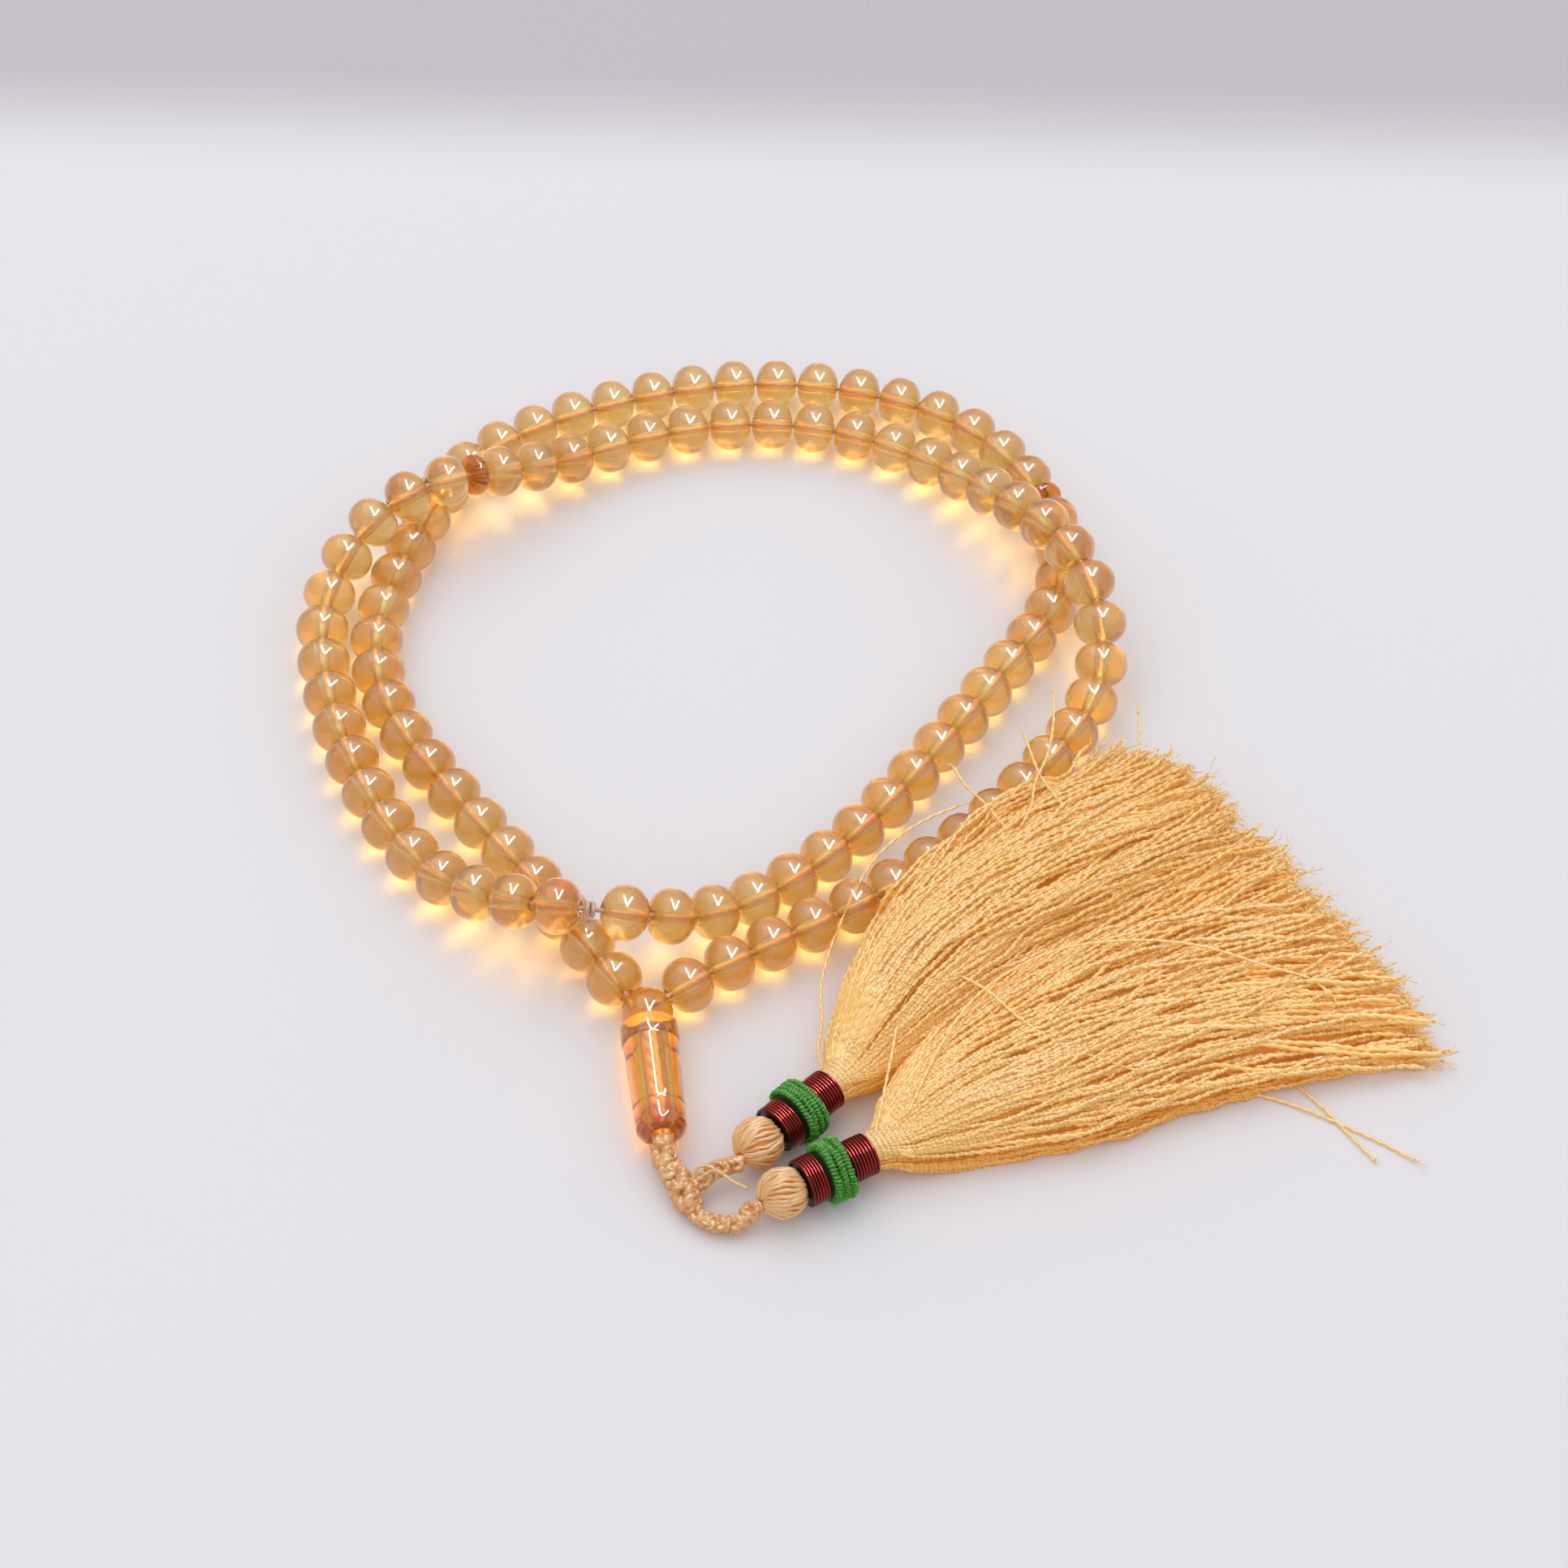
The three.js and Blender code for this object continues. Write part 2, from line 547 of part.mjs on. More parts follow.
let beadNumber = 1;
for (const item of sequence) {
  if (item.separator) {
    layOnThread(addMesh(prayerBeads, item.separator, looseBead(separatorOutline()), ORANGE_RESIN), item.row);
  } else if (item.knot) {
    const knot = sleeve(knotOutline(), THREAD_RADIUS + GAP, BEAD_SIDES);
    layOnThread(addMesh(prayerBeads, 'thread_knot', knot, SILK), item.row);
  } else {
    const first = String(beadNumber).padStart(3, '0');
    const last = String(beadNumber + item.beads - 1).padStart(3, '0');
    if (item.beads === 1) {
      layOnThread(addMesh(prayerBeads, `bead_${first}`, looseBead(beadOutline()), RESIN), item.row);
    } else {
      addMesh(prayerBeads, `beads_${first}_${last}`, beadRow(item.row), RESIN);
    }
    beadNumber += item.beads;
  }
}

addMesh(prayerBeads, 'imam', imamGeometry(), ORANGE_RESIN);
addMesh(prayerBeads, 'stem_braid', stemGeometry(), SILK);
addMesh(prayerBeads, 'front_braid', tube(curveThrough(FRONT_BRANCH_ROUTE), BRANCH_RADIUS, 6), SILK);
addMesh(prayerBeads, 'rear_braid', tube(curveThrough(REAR_BRANCH_ROUTE), BRANCH_RADIUS, 4), SILK);

for (const [side, place, skirt] of [['front', frontPlace, frontSkirtGeometry()],
  ['rear', rearPlace, rearSkirtGeometry()]]) {
  const tassel = new THREE.Group();
  tassel.applyMatrix4(place);
  prayerBeads.add(tassel);
  addMesh(tassel, `${side}_knob`, knobGeometry(), SILK);
  const lowerWrap = wrapGeometry(lowerWrapStart, LOWER_WRAP_LENGTH, LOWER_WRAP_RADIUS);
  const upperWrap = wrapGeometry(upperWrapStart, UPPER_WRAP_LENGTH, UPPER_WRAP_RADIUS);
  addMesh(tassel, `${side}_lower_wrap`, lowerWrap, WIRE);
  addMesh(tassel, `${side}_ring`, ringGeometry(), GREEN_SILK);
  addMesh(tassel, `${side}_upper_wrap`, upperWrap, WIRE);
  addMesh(tassel, `${side}_skirt`, skirt, SILK);
}

export default prayerBeads;
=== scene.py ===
# %% [markdown]
# # A string of amber prayer beads
# The real object is a misbaha: a hundred and one clear resin beads on one thin silk thread, two
# separator discs, a long turned bead that closes the string, a knotted silk cord and two tassels.
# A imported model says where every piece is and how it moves, and all that is made here rides on it.

# %% Load the frame
import math

import bpy
import numpy as np
from mathutils import Matrix, Quaternion, Vector


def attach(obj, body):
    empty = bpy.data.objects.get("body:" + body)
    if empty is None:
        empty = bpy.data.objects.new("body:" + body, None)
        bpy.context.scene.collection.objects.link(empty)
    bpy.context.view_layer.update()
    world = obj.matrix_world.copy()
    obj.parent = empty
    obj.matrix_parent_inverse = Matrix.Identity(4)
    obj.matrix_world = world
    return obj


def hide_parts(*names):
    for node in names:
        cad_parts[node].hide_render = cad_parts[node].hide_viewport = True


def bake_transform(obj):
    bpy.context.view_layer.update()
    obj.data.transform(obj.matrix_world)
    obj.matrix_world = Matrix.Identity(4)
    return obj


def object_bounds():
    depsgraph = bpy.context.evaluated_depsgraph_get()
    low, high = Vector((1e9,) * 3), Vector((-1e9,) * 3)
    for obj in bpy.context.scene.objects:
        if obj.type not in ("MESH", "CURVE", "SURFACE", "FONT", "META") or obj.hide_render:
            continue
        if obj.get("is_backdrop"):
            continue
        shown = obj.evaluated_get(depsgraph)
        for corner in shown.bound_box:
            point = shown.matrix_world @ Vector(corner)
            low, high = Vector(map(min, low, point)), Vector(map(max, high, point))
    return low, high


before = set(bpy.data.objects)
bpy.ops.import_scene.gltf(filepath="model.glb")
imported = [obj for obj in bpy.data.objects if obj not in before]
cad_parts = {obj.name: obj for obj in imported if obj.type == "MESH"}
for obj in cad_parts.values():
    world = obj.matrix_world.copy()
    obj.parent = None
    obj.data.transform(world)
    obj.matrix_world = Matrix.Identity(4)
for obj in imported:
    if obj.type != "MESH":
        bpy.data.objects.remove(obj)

cad_low, cad_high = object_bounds()
MM = 0.001

# %% [markdown]
# ## Camera
# A camera at arm's length looks down at about 48 degrees, through a fairly long lens that keeps the
# far side of the loop nearly as large as the near side. It is rolled by three degrees.

# %% Camera
CAMERA_PLACE = Vector((-0.008, -0.32276, 0.35557))
CAMERA_TARGET = Vector((-0.008, -0.0035, 0.0))
CAMERA_ROLL = math.radians(3.0)
LENS, SENSOR = 74.8, 36.0


def add_object(name, data):
    """Makes an object from its data and puts it in the scene."""
    made = bpy.data.objects.new(name, data)
    bpy.context.scene.collection.objects.link(made)
    return made


camera = add_object("camera", bpy.data.cameras.new("camera"))
camera.data.lens, camera.data.sensor_width = LENS, SENSOR
camera.data.clip_start, camera.data.clip_end = 0.01, 10.0
camera.location = CAMERA_PLACE
line_of_sight = (CAMERA_TARGET - CAMERA_PLACE).normalized()
camera.rotation_mode = "QUATERNION"
camera.rotation_quaternion = (Quaternion(line_of_sight, -CAMERA_ROLL)
                              @ line_of_sight.to_track_quat("-Z", "Y"))
bpy.context.scene.camera = camera
print("camera:", round((CAMERA_TARGET - CAMERA_PLACE).length, 3), "m from the middle of the loop")

# %% [markdown]
# ## Mesh helpers
# Nearly everything here is a row of rings: a turned bead is rings round an axis, and a thread is
# rings along a path. One function joins rings into four-sided faces, and gives each corner a
# coordinate (share of a turn, millimetres along) that the silk materials use.

# %% Rings to faces
def unit(v):
    return v / np.maximum(np.linalg.norm(v, axis=-1, keepdims=True), 1e-9)


def length_along(path):
    """How far along a path each of its points lies."""
    return np.concatenate([[0], np.cumsum(np.linalg.norm(np.diff(path, axis=0), axis=1))])


def join_rings(rings, closed=False, distance=None):
    """rings: (count, sides, 3) in mm. Returns vertices, quads and corner coordinates."""
    rings = np.asarray(rings, float)
    count, sides = rings.shape[:2]
    verts = rings.reshape(-1, 3)
    last = count if closed else count - 1
    k, s = np.meshgrid(np.arange(last), np.arange(sides), indexing="ij")
    k2, s2 = (k + 1) % count, (s + 1) % sides
    quads = np.stack([k * sides + s, k * sides + s2, k2 * sides + s2, k2 * sides + s], -1).reshape(-1, 4)
    if distance is None:
        distance = length_along(rings.mean(1))
    far = np.append(distance, distance[-1]) if closed else distance
    turn = np.stack([s, s + 1, s + 1, s], -1) / sides
    mm = np.stack([far[k], far[k], far[k + 1], far[k + 1]], -1)
    corners = np.stack([turn, mm], -1).reshape(-1, 4, 2)
    if not closed:
        caps = []
        for start, flip in ((0, True), ((count - 1) * sides, False)):
            for j in range(1, sides - 2, 2):
                cap = [start, start + j, start + j + 1, start + j + 2]
                caps.append(cap[::-1] if flip else cap)
        quads = np.concatenate([quads, np.array(caps)])
        corners = np.concatenate([corners, np.zeros((len(caps), 4, 2))])
    return verts, quads, corners


def outward(part):
    """Turns a closed part's faces to look outward, by the sign of its volume."""
    v, q, uv, own = part
    a, b, c, d = (v[q[:, k]] for k in range(4))
    volume = np.sum(a * np.cross(b, c)) + np.sum(a * np.cross(c, d))
    return (v, q[:, ::-1], uv[:, ::-1], own) if volume < 0 else part


def gather(parts):
    """Puts several (vertices, quads, corners, attributes) together as one."""
    verts, quads, corners, values, start = [], [], [], {}, 0
    for v, q, c, a in map(outward, parts):
        verts.append(v)
        quads.append(q + start)
        corners.append(c)
        start += len(v)
        for name, value in a.items():
            values.setdefault(name, []).append(np.broadcast_to(value, len(v)))
    return (np.concatenate(verts), np.concatenate(quads), np.concatenate(corners),
            {name: np.concatenate(value) for name, value in values.items()})


def new_piece(name, parts, material, body, replaces=()):
    """Makes one mesh object from parts given in millimetres, and lets it ride on a body."""
    verts, quads, corners, values = gather(parts)
    mesh = bpy.data.meshes.new(name)
    mesh.vertices.add(len(verts))
    mesh.vertices.foreach_set("co", (verts * MM).astype(np.float32).ravel())
    mesh.loops.add(quads.size)
    mesh.loops.foreach_set("vertex_index", quads.astype(np.int32).ravel())
    mesh.polygons.add(len(quads))
    mesh.polygons.foreach_set("loop_start", np.arange(0, quads.size, 4, dtype=np.int32))
    mesh.update(calc_edges=True)
    mesh.uv_layers.new(name="ply").data.foreach_set("uv", corners.astype(np.float32).ravel())
    for key, value in values.items():
        attribute = mesh.attributes.new(key, "FLOAT", "POINT")
        attribute.data.foreach_set("value", value.astype(np.float32))
    mesh.polygons.foreach_set("use_smooth", np.ones(len(quads), bool))
    mesh.materials.append(material)
    piece = add_object(name, mesh)
    if body:
        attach(piece, body)
    if replaces:
        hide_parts(*replaces)
    return piece


# %% Threads swept along paths
def carried_frames(paths):
    """Tangents and two side directions along many paths (threads, points, 3), without twist."""
    tangent = unit(np.gradient(paths, axis=1))
    side = np.empty_like(tangent)
    start = np.cross(tangent[:, 0], [0.31, 0.17, 0.93])
    side[:, 0] = unit(start)
    for k in range(1, paths.shape[1]):
        s = side[:, k - 1]
        side[:, k] = unit(s - tangent[:, k] * np.sum(s * tangent[:, k], -1, keepdims=True))
    return tangent, side, np.cross(tangent, side)


def sweep(paths, wide, thin, turns_per_mm, sides=8, lobe=0.0, groove=0.0, taper=None, phase=0.0,
          tone=0.0, deep=0.0):
    """Twisted threads along paths. The section is wide by thin, and a lobe gives it two plies."""
    paths = np.asarray(paths, float)
    threads, points = paths.shape[:2]
    _, side, up = carried_frames(paths)
    step = np.linalg.norm(np.diff(paths, axis=1), axis=2)
    mm = np.concatenate([np.zeros((threads, 1)), np.cumsum(step, axis=1)], axis=1)
    twist = 2 * math.pi * turns_per_mm * mm + np.broadcast_to(phase, (threads,))[:, None]
    corner = 2 * math.pi * np.arange(sides) / sides
    swell = 1 + lobe * np.cos(2 * corner)
    size = np.ones(points) if taper is None else taper
    a = (wide * np.cos(corner) * swell)[None, None] * size[None, :, None]
    b = (thin * np.sin(corner) * swell)[None, None] * size[None, :, None]
    c, s = np.cos(twist)[..., None], np.sin(twist)[..., None]
    x, y = a * c - b * s, a * s + b * c
    rings = paths[:, :, None] + x[..., None] * side[:, :, None] + y[..., None] * up[:, :, None]
    parts = []
    for t in range(threads):
        v, q, uv = join_rings(rings[t], distance=mm[t])
        own = {key: np.repeat(np.broadcast_to(value[t] if np.ndim(value) else value, (points,)), sides)
               for key, value in (("tone", tone), ("deep", deep))}
        # Painted shade in the grooves between the two plies.
        if groove:
            own["deep"] = np.clip(own["deep"] + np.tile(groove * (swell < 1), points), 0, 1)
        parts.append((v, q, uv, own))
    return parts


def turn(outline, sides=48, closed=False, **values):
    """Turns an outline of (radius, distance) pairs about the x axis."""
    outline = np.asarray(outline, float)
    angle = 2 * math.pi * np.arange(sides) / sides
    ring = np.stack([np.zeros(sides), np.cos(angle), np.sin(angle)], -1)
    rings = outline[:, 0, None, None] * ring + outline[:, 1, None, None] * np.array([1.0, 0, 0])
    v, q, uv = join_rings(rings, closed=closed, distance=length_along(outline))
    own = {k: np.repeat(np.broadcast_to(val, (len(outline),)), sides) for k, val in values.items()}
    return v, q, uv, own


def placed(part, origin, direction, up=(0, 0, 1)):
    """Moves a part made along +x so that it points along a direction from an origin."""
    x = unit(np.asarray(direction, float))
    y = unit(np.cross(up, x))
    v, q, uv, own = part
    return v @ np.stack([x, y, np.cross(x, y)]) + np.asarray(origin, float), q, uv, own


# %% [markdown]
# ## Where the strand runs
# The thread leaves the closing bead on its left, goes round twice, and comes back in on the right.
# The route is the imported model's: listed points, a smooth curve through them, and then one
# straight step for each bead, because a thread can't bend inside one.

# %% Route of the thread
BEAD_RADIUS, BEAD_LENGTH, BORE = 4.0, 6.65, 0.75
JOINED_GAP, LOOSE_GAP = 0.15, 0.25
DOME_RADIUS = 3.9
SEPARATOR_RADIUS, SEPARATOR_LENGTH = 3.2, 2.8
ROUTE = np.array([
    [-26.2, -49.9, 1.02], [-29.7, -44.9, 1], [-41.5, -29, 1], [-54.6, -13.3, 1], [-66, 2.6, 1],
    [-70.3, 16.7, 1], [-67.7, 36.8, 1], [-61.6, 55.6, 1], [-51.4, 66, 1], [-32.8, 75.7, 1],
    [-12.7, 80.3, 1], [7.9, 77.5, 1], [20.3, 70.5, 1], [28.9, 59.2, 1], [33.1, 46.8, 1],
    [32, 33, 1], [24.2, 18.4, 1], [14.1, 1.3, 1], [3.1, -15.2, 1], [-9.5, -28.4, 1.1],
    [-19.5, -35.3, 1.7], [-29.2, -38.2, 2.65], [-37.2, -38.5, 2.9], [-44.6, -36.2, 2.3],
    [-52.6, -31.2, 1.4], [-59.6, -25, 1.02], [-70.3, -8, 1], [-77, 10.2, 1], [-78.8, 23, 1.08],
    [-76.9, 31, 1.65], [-72.8, 37.3, 2.5], [-66.8, 42, 3], [-60.3, 46.3, 2.85], [-53.6, 51.6, 2.1],
    [-46.3, 57.2, 1.35], [-32, 66.1, 1], [-15, 70.4, 1], [-1, 69.2, 1], [9.6, 64.6, 1.1],
    [18.2, 57.4, 1.6], [26, 47.8, 2.5], [31.1, 40.9, 2.98], [35, 34.7, 2.95], [37.9, 27.6, 2.35],
    [38.8, 19.5, 1.5], [37.2, 12, 1.1], [33.2, 4.4, 1], [22.1, -11.5, 1], [7.6, -25.9, 1],
    [-9, -37.3, 1], [-20.4, -45.4, 1], [-24.6, -49.6, 1.02],
]) * [1, 1, BEAD_RADIUS]


def smooth_curve(points, t):
    """A centripetal Catmull-Rom curve through the points, at shares t of its segments."""
    points = np.asarray(points, float)
    padded = np.vstack([2 * points[0] - points[1], points, 2 * points[-1] - points[-2]])
    place = np.clip(t, 0, 1) * (len(points) - 1)
    k = np.minimum(place.astype(int), len(points) - 2)
    w = (place - k)[:, None]
    p0, p1, p2, p3 = (padded[k + j] for j in range(4))
    d0, d1, d2 = (np.sum((b - a) ** 2, 1)[:, None] ** 0.25 for a, b in ((p0, p1), (p1, p2), (p2, p3)))
    t1 = ((p1 - p0) / d0 - (p2 - p0) / (d0 + d1) + (p2 - p1) / d1) * d1
    t2 = ((p2 - p1) / d1 - (p3 - p1) / (d1 + d2) + (p3 - p2) / d2) * d1
    return p1 + t1 * w + (-3 * p1 + 3 * p2 - 2 * t1 - t2) * w**2 + (2 * p1 - 2 * p2 + t1 + t2) * w**3


FINE = np.linspace(0, 1, 2001)


def even_points(points, step):
    """Points at an even distance along the smooth curve through the given ones."""
    far = length_along(smooth_curve(points, FINE))
    at = np.linspace(0, far[-1], max(3, int(round(far[-1] / step)) + 1))
    return smooth_curve(points, np.interp(at, far, FINE))


route_far = length_along(smooth_curve(ROUTE, FINE))
ROUTE_LENGTH = route_far[-1]
ABOVE_FLOOR = 0.02


def point_at(distance):
    """The point of the route at a distance from its start, never below a bead's height."""
    share = np.interp(np.clip(distance, 0, ROUTE_LENGTH), route_far, FINE)
    point = smooth_curve(ROUTE, np.array([share]))[0]
    point[2] = max(point[2], BEAD_RADIUS + ABOVE_FLOOR)
    return point


THIRD = [1] + [3] * 10 + [1, 1]
order = ([("beads", n) for n in THIRD] + [("separator_a", 0)]
         + [("beads", n) for n in [3] * 5 + [1, 1, 1]] + [("knot", 0)]
         + [("beads", n) for n in [1, 1] + [3] * 5] + [("separator_b", 0)] + [("beads", n) for n in THIRD])
IN_DOME = 0.8
start = DOME_RADIUS - IN_DOME
used = sum(n * BEAD_LENGTH + (n - 1) * JOINED_GAP + LOOSE_GAP if kind == "beads" else
           SEPARATOR_LENGTH + LOOSE_GAP for kind, n in order if kind != "knot")
knot_room = ROUTE_LENGTH - 2 * start - used

distance, number = start, 1
stations = [point_at(0), point_at(start)]
rows, others = [], {}
for kind, n in order:
    if kind == "beads":
        row = [point_at(distance)]
        for k in range(1, n + 1):
            distance += BEAD_LENGTH + (JOINED_GAP if k < n else LOOSE_GAP)
            row.append(point_at(distance))
        rows.append((number, row))
        number += n
        stations += row[1:]
    else:
        before = point_at(distance)
        distance += knot_room if kind == "knot" else SEPARATOR_LENGTH + LOOSE_GAP
        others[kind] = (before, point_at(distance))
        stations.append(point_at(distance))
stations.append(point_at(ROUTE_LENGTH))
stations = np.array(stations)

# %% [markdown]
# ## Materials: what the finishes share
# An effect that several finishes need is a node group that puts out only colours and values. Its
# numbers come in on named sockets, so a material reads like a short recipe. The shaders themselves
# stay in the materials.

# %% Node helpers
def new_group(name, inputs, outputs):
    """An empty node group with its sockets. Returns the group and its two end nodes."""
    group = bpy.data.node_groups.new(name, "ShaderNodeTree")
    for label, kind, value in inputs:
        socket = group.interface.new_socket(label, in_out="INPUT", socket_type=kind)
        socket.default_value = value
    for label, kind in outputs:
        group.interface.new_socket(label, in_out="OUTPUT", socket_type=kind)
    return group, group.nodes.new("NodeGroupInput"), group.nodes.new("NodeGroupOutput")


def wire(tree, source, target):
    tree.links.new(source, target)


def feed(tree, socket, value):
    """Links a socket to an output, or gives it a plain value."""
    if isinstance(value, bpy.types.NodeSocket):
        wire(tree, value, socket)
    else:
        socket.default_value = value


def math_node(tree, operation, a, b, clamp=False):
    node = tree.nodes.new("ShaderNodeMath")
    node.operation, node.use_clamp = operation, clamp
    feed(tree, node.inputs[0], a)
    feed(tree, node.inputs[1], b)
    return node.outputs[0]


def mix_colour(tree, share, a, b):
    node = tree.nodes.new("ShaderNodeMix")
    node.data_type = "RGBA"
    for k, value in ((0, share), (6, a), (7, b)):
        feed(tree, node.inputs[k], value)
    return node.outputs[2]


def noise(tree, vector, scale, detail):
    node = tree.nodes.new("ShaderNodeTexNoise")
    for name, value in (("Detail", detail), ("Scale", scale), ("Vector", vector)):
        feed(tree, node.inputs[name], value)
    return node.outputs["Fac"]


def smooth_share(tree, value, low, high):
    """How far a value is from low to high, as a share from 0 to 1 with soft ends."""
    node = tree.nodes.new("ShaderNodeMapRange")
    node.interpolation_type = "SMOOTHSTEP"
    for name, given_value in (("Value", value), ("From Min", low), ("From Max", high)):
        feed(tree, node.inputs[name], given_value)
    return node.outputs["Result"]


def named_value(tree, name):
    node = tree.nodes.new("ShaderNodeAttribute")
    node.attribute_name = name
    return node.outputs["Fac"]


COLOUR, VALUE = "NodeSocketColor", "NodeSocketFloat"

# %% [markdown]
# ### Cast resin
# Clear cast resin isn't one colour. Each bead comes out a little paler or deeper. A darker orange is
# mixed in as painted shade at the drilled ends and round the bore, and on the imam bead as painted
# shade at its edges and dirt in its groove. The group mixes three colours by two values that the
# meshes carry, and adds faint clouds and rubbed spots.

# %% Resin group
resin_group, given, out = new_group(
    "Cast resin",
    [("Pale", COLOUR, (0.9, 0.8, 0.45, 1)), ("Deep", COLOUR, (0.8, 0.5, 0.12, 1)),
     ("Shade and Dirt", COLOUR, (0.6, 0.22, 0.04, 1)), ("Cloud Size", VALUE, 250.0), ("Polish", VALUE, 0.012)],
    [("Color", COLOUR), ("Roughness", VALUE), ("Height", VALUE)])
place = resin_group.nodes.new("ShaderNodeTexCoord").outputs["Object"]
clouds = noise(resin_group, place, given.outputs["Cloud Size"], 3.0)
cloudy = math_node(resin_group, "MULTIPLY", math_node(resin_group, "SUBTRACT", clouds, 0.5), 0.5)
tone = math_node(resin_group, "ADD", named_value(resin_group, "tone"), cloudy, True)
body_colour = mix_colour(resin_group, tone, given.outputs["Pale"], given.outputs["Deep"])
# Painted shade, and dirt in the imam bead's groove, in a darker orange where the meshes mark it.
wire(resin_group, mix_colour(resin_group, named_value(resin_group, "burnt"), body_colour,
                             given.outputs["Shade and Dirt"]), out.inputs["Color"])
rubbed = noise(resin_group, place, 1400.0, 4.0)
wire(resin_group, math_node(resin_group, "ADD", given.outputs["Polish"],
                            math_node(resin_group, "MULTIPLY", rubbed, 0.03)), out.inputs["Roughness"])
wire(resin_group, math_node(resin_group, "ADD", clouds,
                            math_node(resin_group, "MULTIPLY", rubbed, 0.15)), out.inputs["Height"])

# %% [markdown]
# ### Twisted silk
# Silk thread shows fine bright fibres along its plies, and the light that goes through a bundle
# comes out orange where the threads lie deep. The group draws fibres with a noise that is long
# along the thread and short round it, and mixes a light, a middle and a deep colour; the deep one
# is painted shade, where the meshes mark a thread, groove or gap as lying deep. It is put out once
# more, as painted light that stands for the light that comes through.

# %% Silk group
silk_group, given, out = new_group(
    "Twisted silk",
    [("Light", COLOUR, (1, 0.84, 0.6, 1)), ("Middle", COLOUR, (0.9, 0.62, 0.32, 1)),
     ("Deep", COLOUR, (0.8, 0.3, 0.05, 1)), ("Fibres", VALUE, 1.0), ("Dryness", VALUE, 0.42)],
    [("Color", COLOUR), ("Painted Glow", COLOUR), ("Roughness", VALUE), ("Height", VALUE)])
ply = silk_group.nodes.new("ShaderNodeUVMap")
ply.uv_map = "ply"
stretch = silk_group.nodes.new("ShaderNodeMapping")
stretch.inputs["Scale"].default_value = (9.0, 0.9, 1.0)
wire(silk_group, ply.outputs["UV"], stretch.inputs["Vector"])
fibres = noise(silk_group, stretch.outputs["Vector"], given.outputs["Fibres"], 3.0)
lit = math_node(silk_group, "ADD", fibres, named_value(silk_group, "tone"))
lit = math_node(silk_group, "MULTIPLY", math_node(silk_group, "SUBTRACT", lit, 0.45), 1.4, True)
silk_colour = mix_colour(silk_group, lit, given.outputs["Middle"], given.outputs["Light"])
# Painted shade: the darkest colour where the meshes mark threads, grooves and gaps that lie deep.
lies_deep = named_value(silk_group, "deep")
silk_colour = mix_colour(silk_group, lies_deep, silk_colour, given.outputs["Deep"])
wire(silk_group, silk_colour, out.inputs["Color"])
# The darkest colour again, given off as painted light for the light that comes through the silk.
wire(silk_group, given.outputs["Deep"], out.inputs["Painted Glow"])
wire(silk_group, math_node(silk_group, "ADD", given.outputs["Dryness"],
                           math_node(silk_group, "MULTIPLY", fibres, 0.25)), out.inputs["Roughness"])
wire(silk_group, fibres, out.inputs["Height"])


# %% A material with one group
BUMP_DEPTH = 0.00002
RIM_NARROWS = 1.8


def new_material(name, group, values, plain, bump, lets_light_through=None, depth_tint=None,
                 painted_glow=None, rim_shade=None):
    """A Principled surface with its colour, roughness and bump from a group, and the rest plain; it may add
    painted shade at the outline and painted light.
    """
    material = bpy.data.materials.new(name)
    material.use_nodes = True
    tree = material.node_tree
    surface = tree.nodes["Principled BSDF"]
    effect = tree.nodes.new("ShaderNodeGroup")
    effect.node_tree = group
    for key, value in values.items():
        effect.inputs[key].default_value = value
    colour = effect.outputs["Color"]
    # Painted shade: the colour turns darker orange towards the outline.
    if rim_shade:
        edge = tree.nodes.new("ShaderNodeLayerWeight")
        edge.inputs["Blend"].default_value = 0.5
        colour = mix_colour(tree, math_node(tree, "POWER", edge.outputs["Facing"], RIM_NARROWS), colour, rim_shade)
    wire(tree, colour, surface.inputs["Base Color"])
    wire(tree, effect.outputs["Roughness"], surface.inputs["Roughness"])
    relief = tree.nodes.new("ShaderNodeBump")
    relief.inputs["Strength"].default_value = bump
    relief.inputs["Distance"].default_value = BUMP_DEPTH
    wire(tree, effect.outputs["Height"], relief.inputs["Height"])
    wire(tree, relief.outputs["Normal"], surface.inputs["Normal"])
    for key, value in plain.items():
        surface.inputs[key].default_value = value
    # Painted light: the group's darkest colour is given off, for the light that comes through the silk.
    if painted_glow:
        wire(tree, effect.outputs["Painted Glow"], surface.inputs["Emission Color"])
        surface.inputs["Emission Strength"].default_value = painted_glow
    if lets_light_through:
        clear = tree.nodes.new("ShaderNodeBsdfTransparent")
        clear.inputs["Color"].default_value = lets_light_through
        mixed = tree.nodes.new("ShaderNodeMixShader")
        wire(tree, tree.nodes.new("ShaderNodeLightPath").outputs["Is Shadow Ray"], mixed.inputs[0])
        wire(tree, surface.outputs[0], mixed.inputs[1])
        wire(tree, clear.outputs[0], mixed.inputs[2])
        wire(tree, mixed.outputs[0], tree.nodes["Material Output"].inputs["Surface"])
    if depth_tint:
        inside = tree.nodes.new("ShaderNodeVolumeAbsorption")
        inside.inputs["Color"].default_value, inside.inputs["Density"].default_value = depth_tint
        wire(tree, inside.outputs[0], tree.nodes["Material Output"].inputs["Volume"])
    return material


COATED = {"IOR": 1.5, "Coat Weight": 0.9, "Coat Roughness": 0.01}

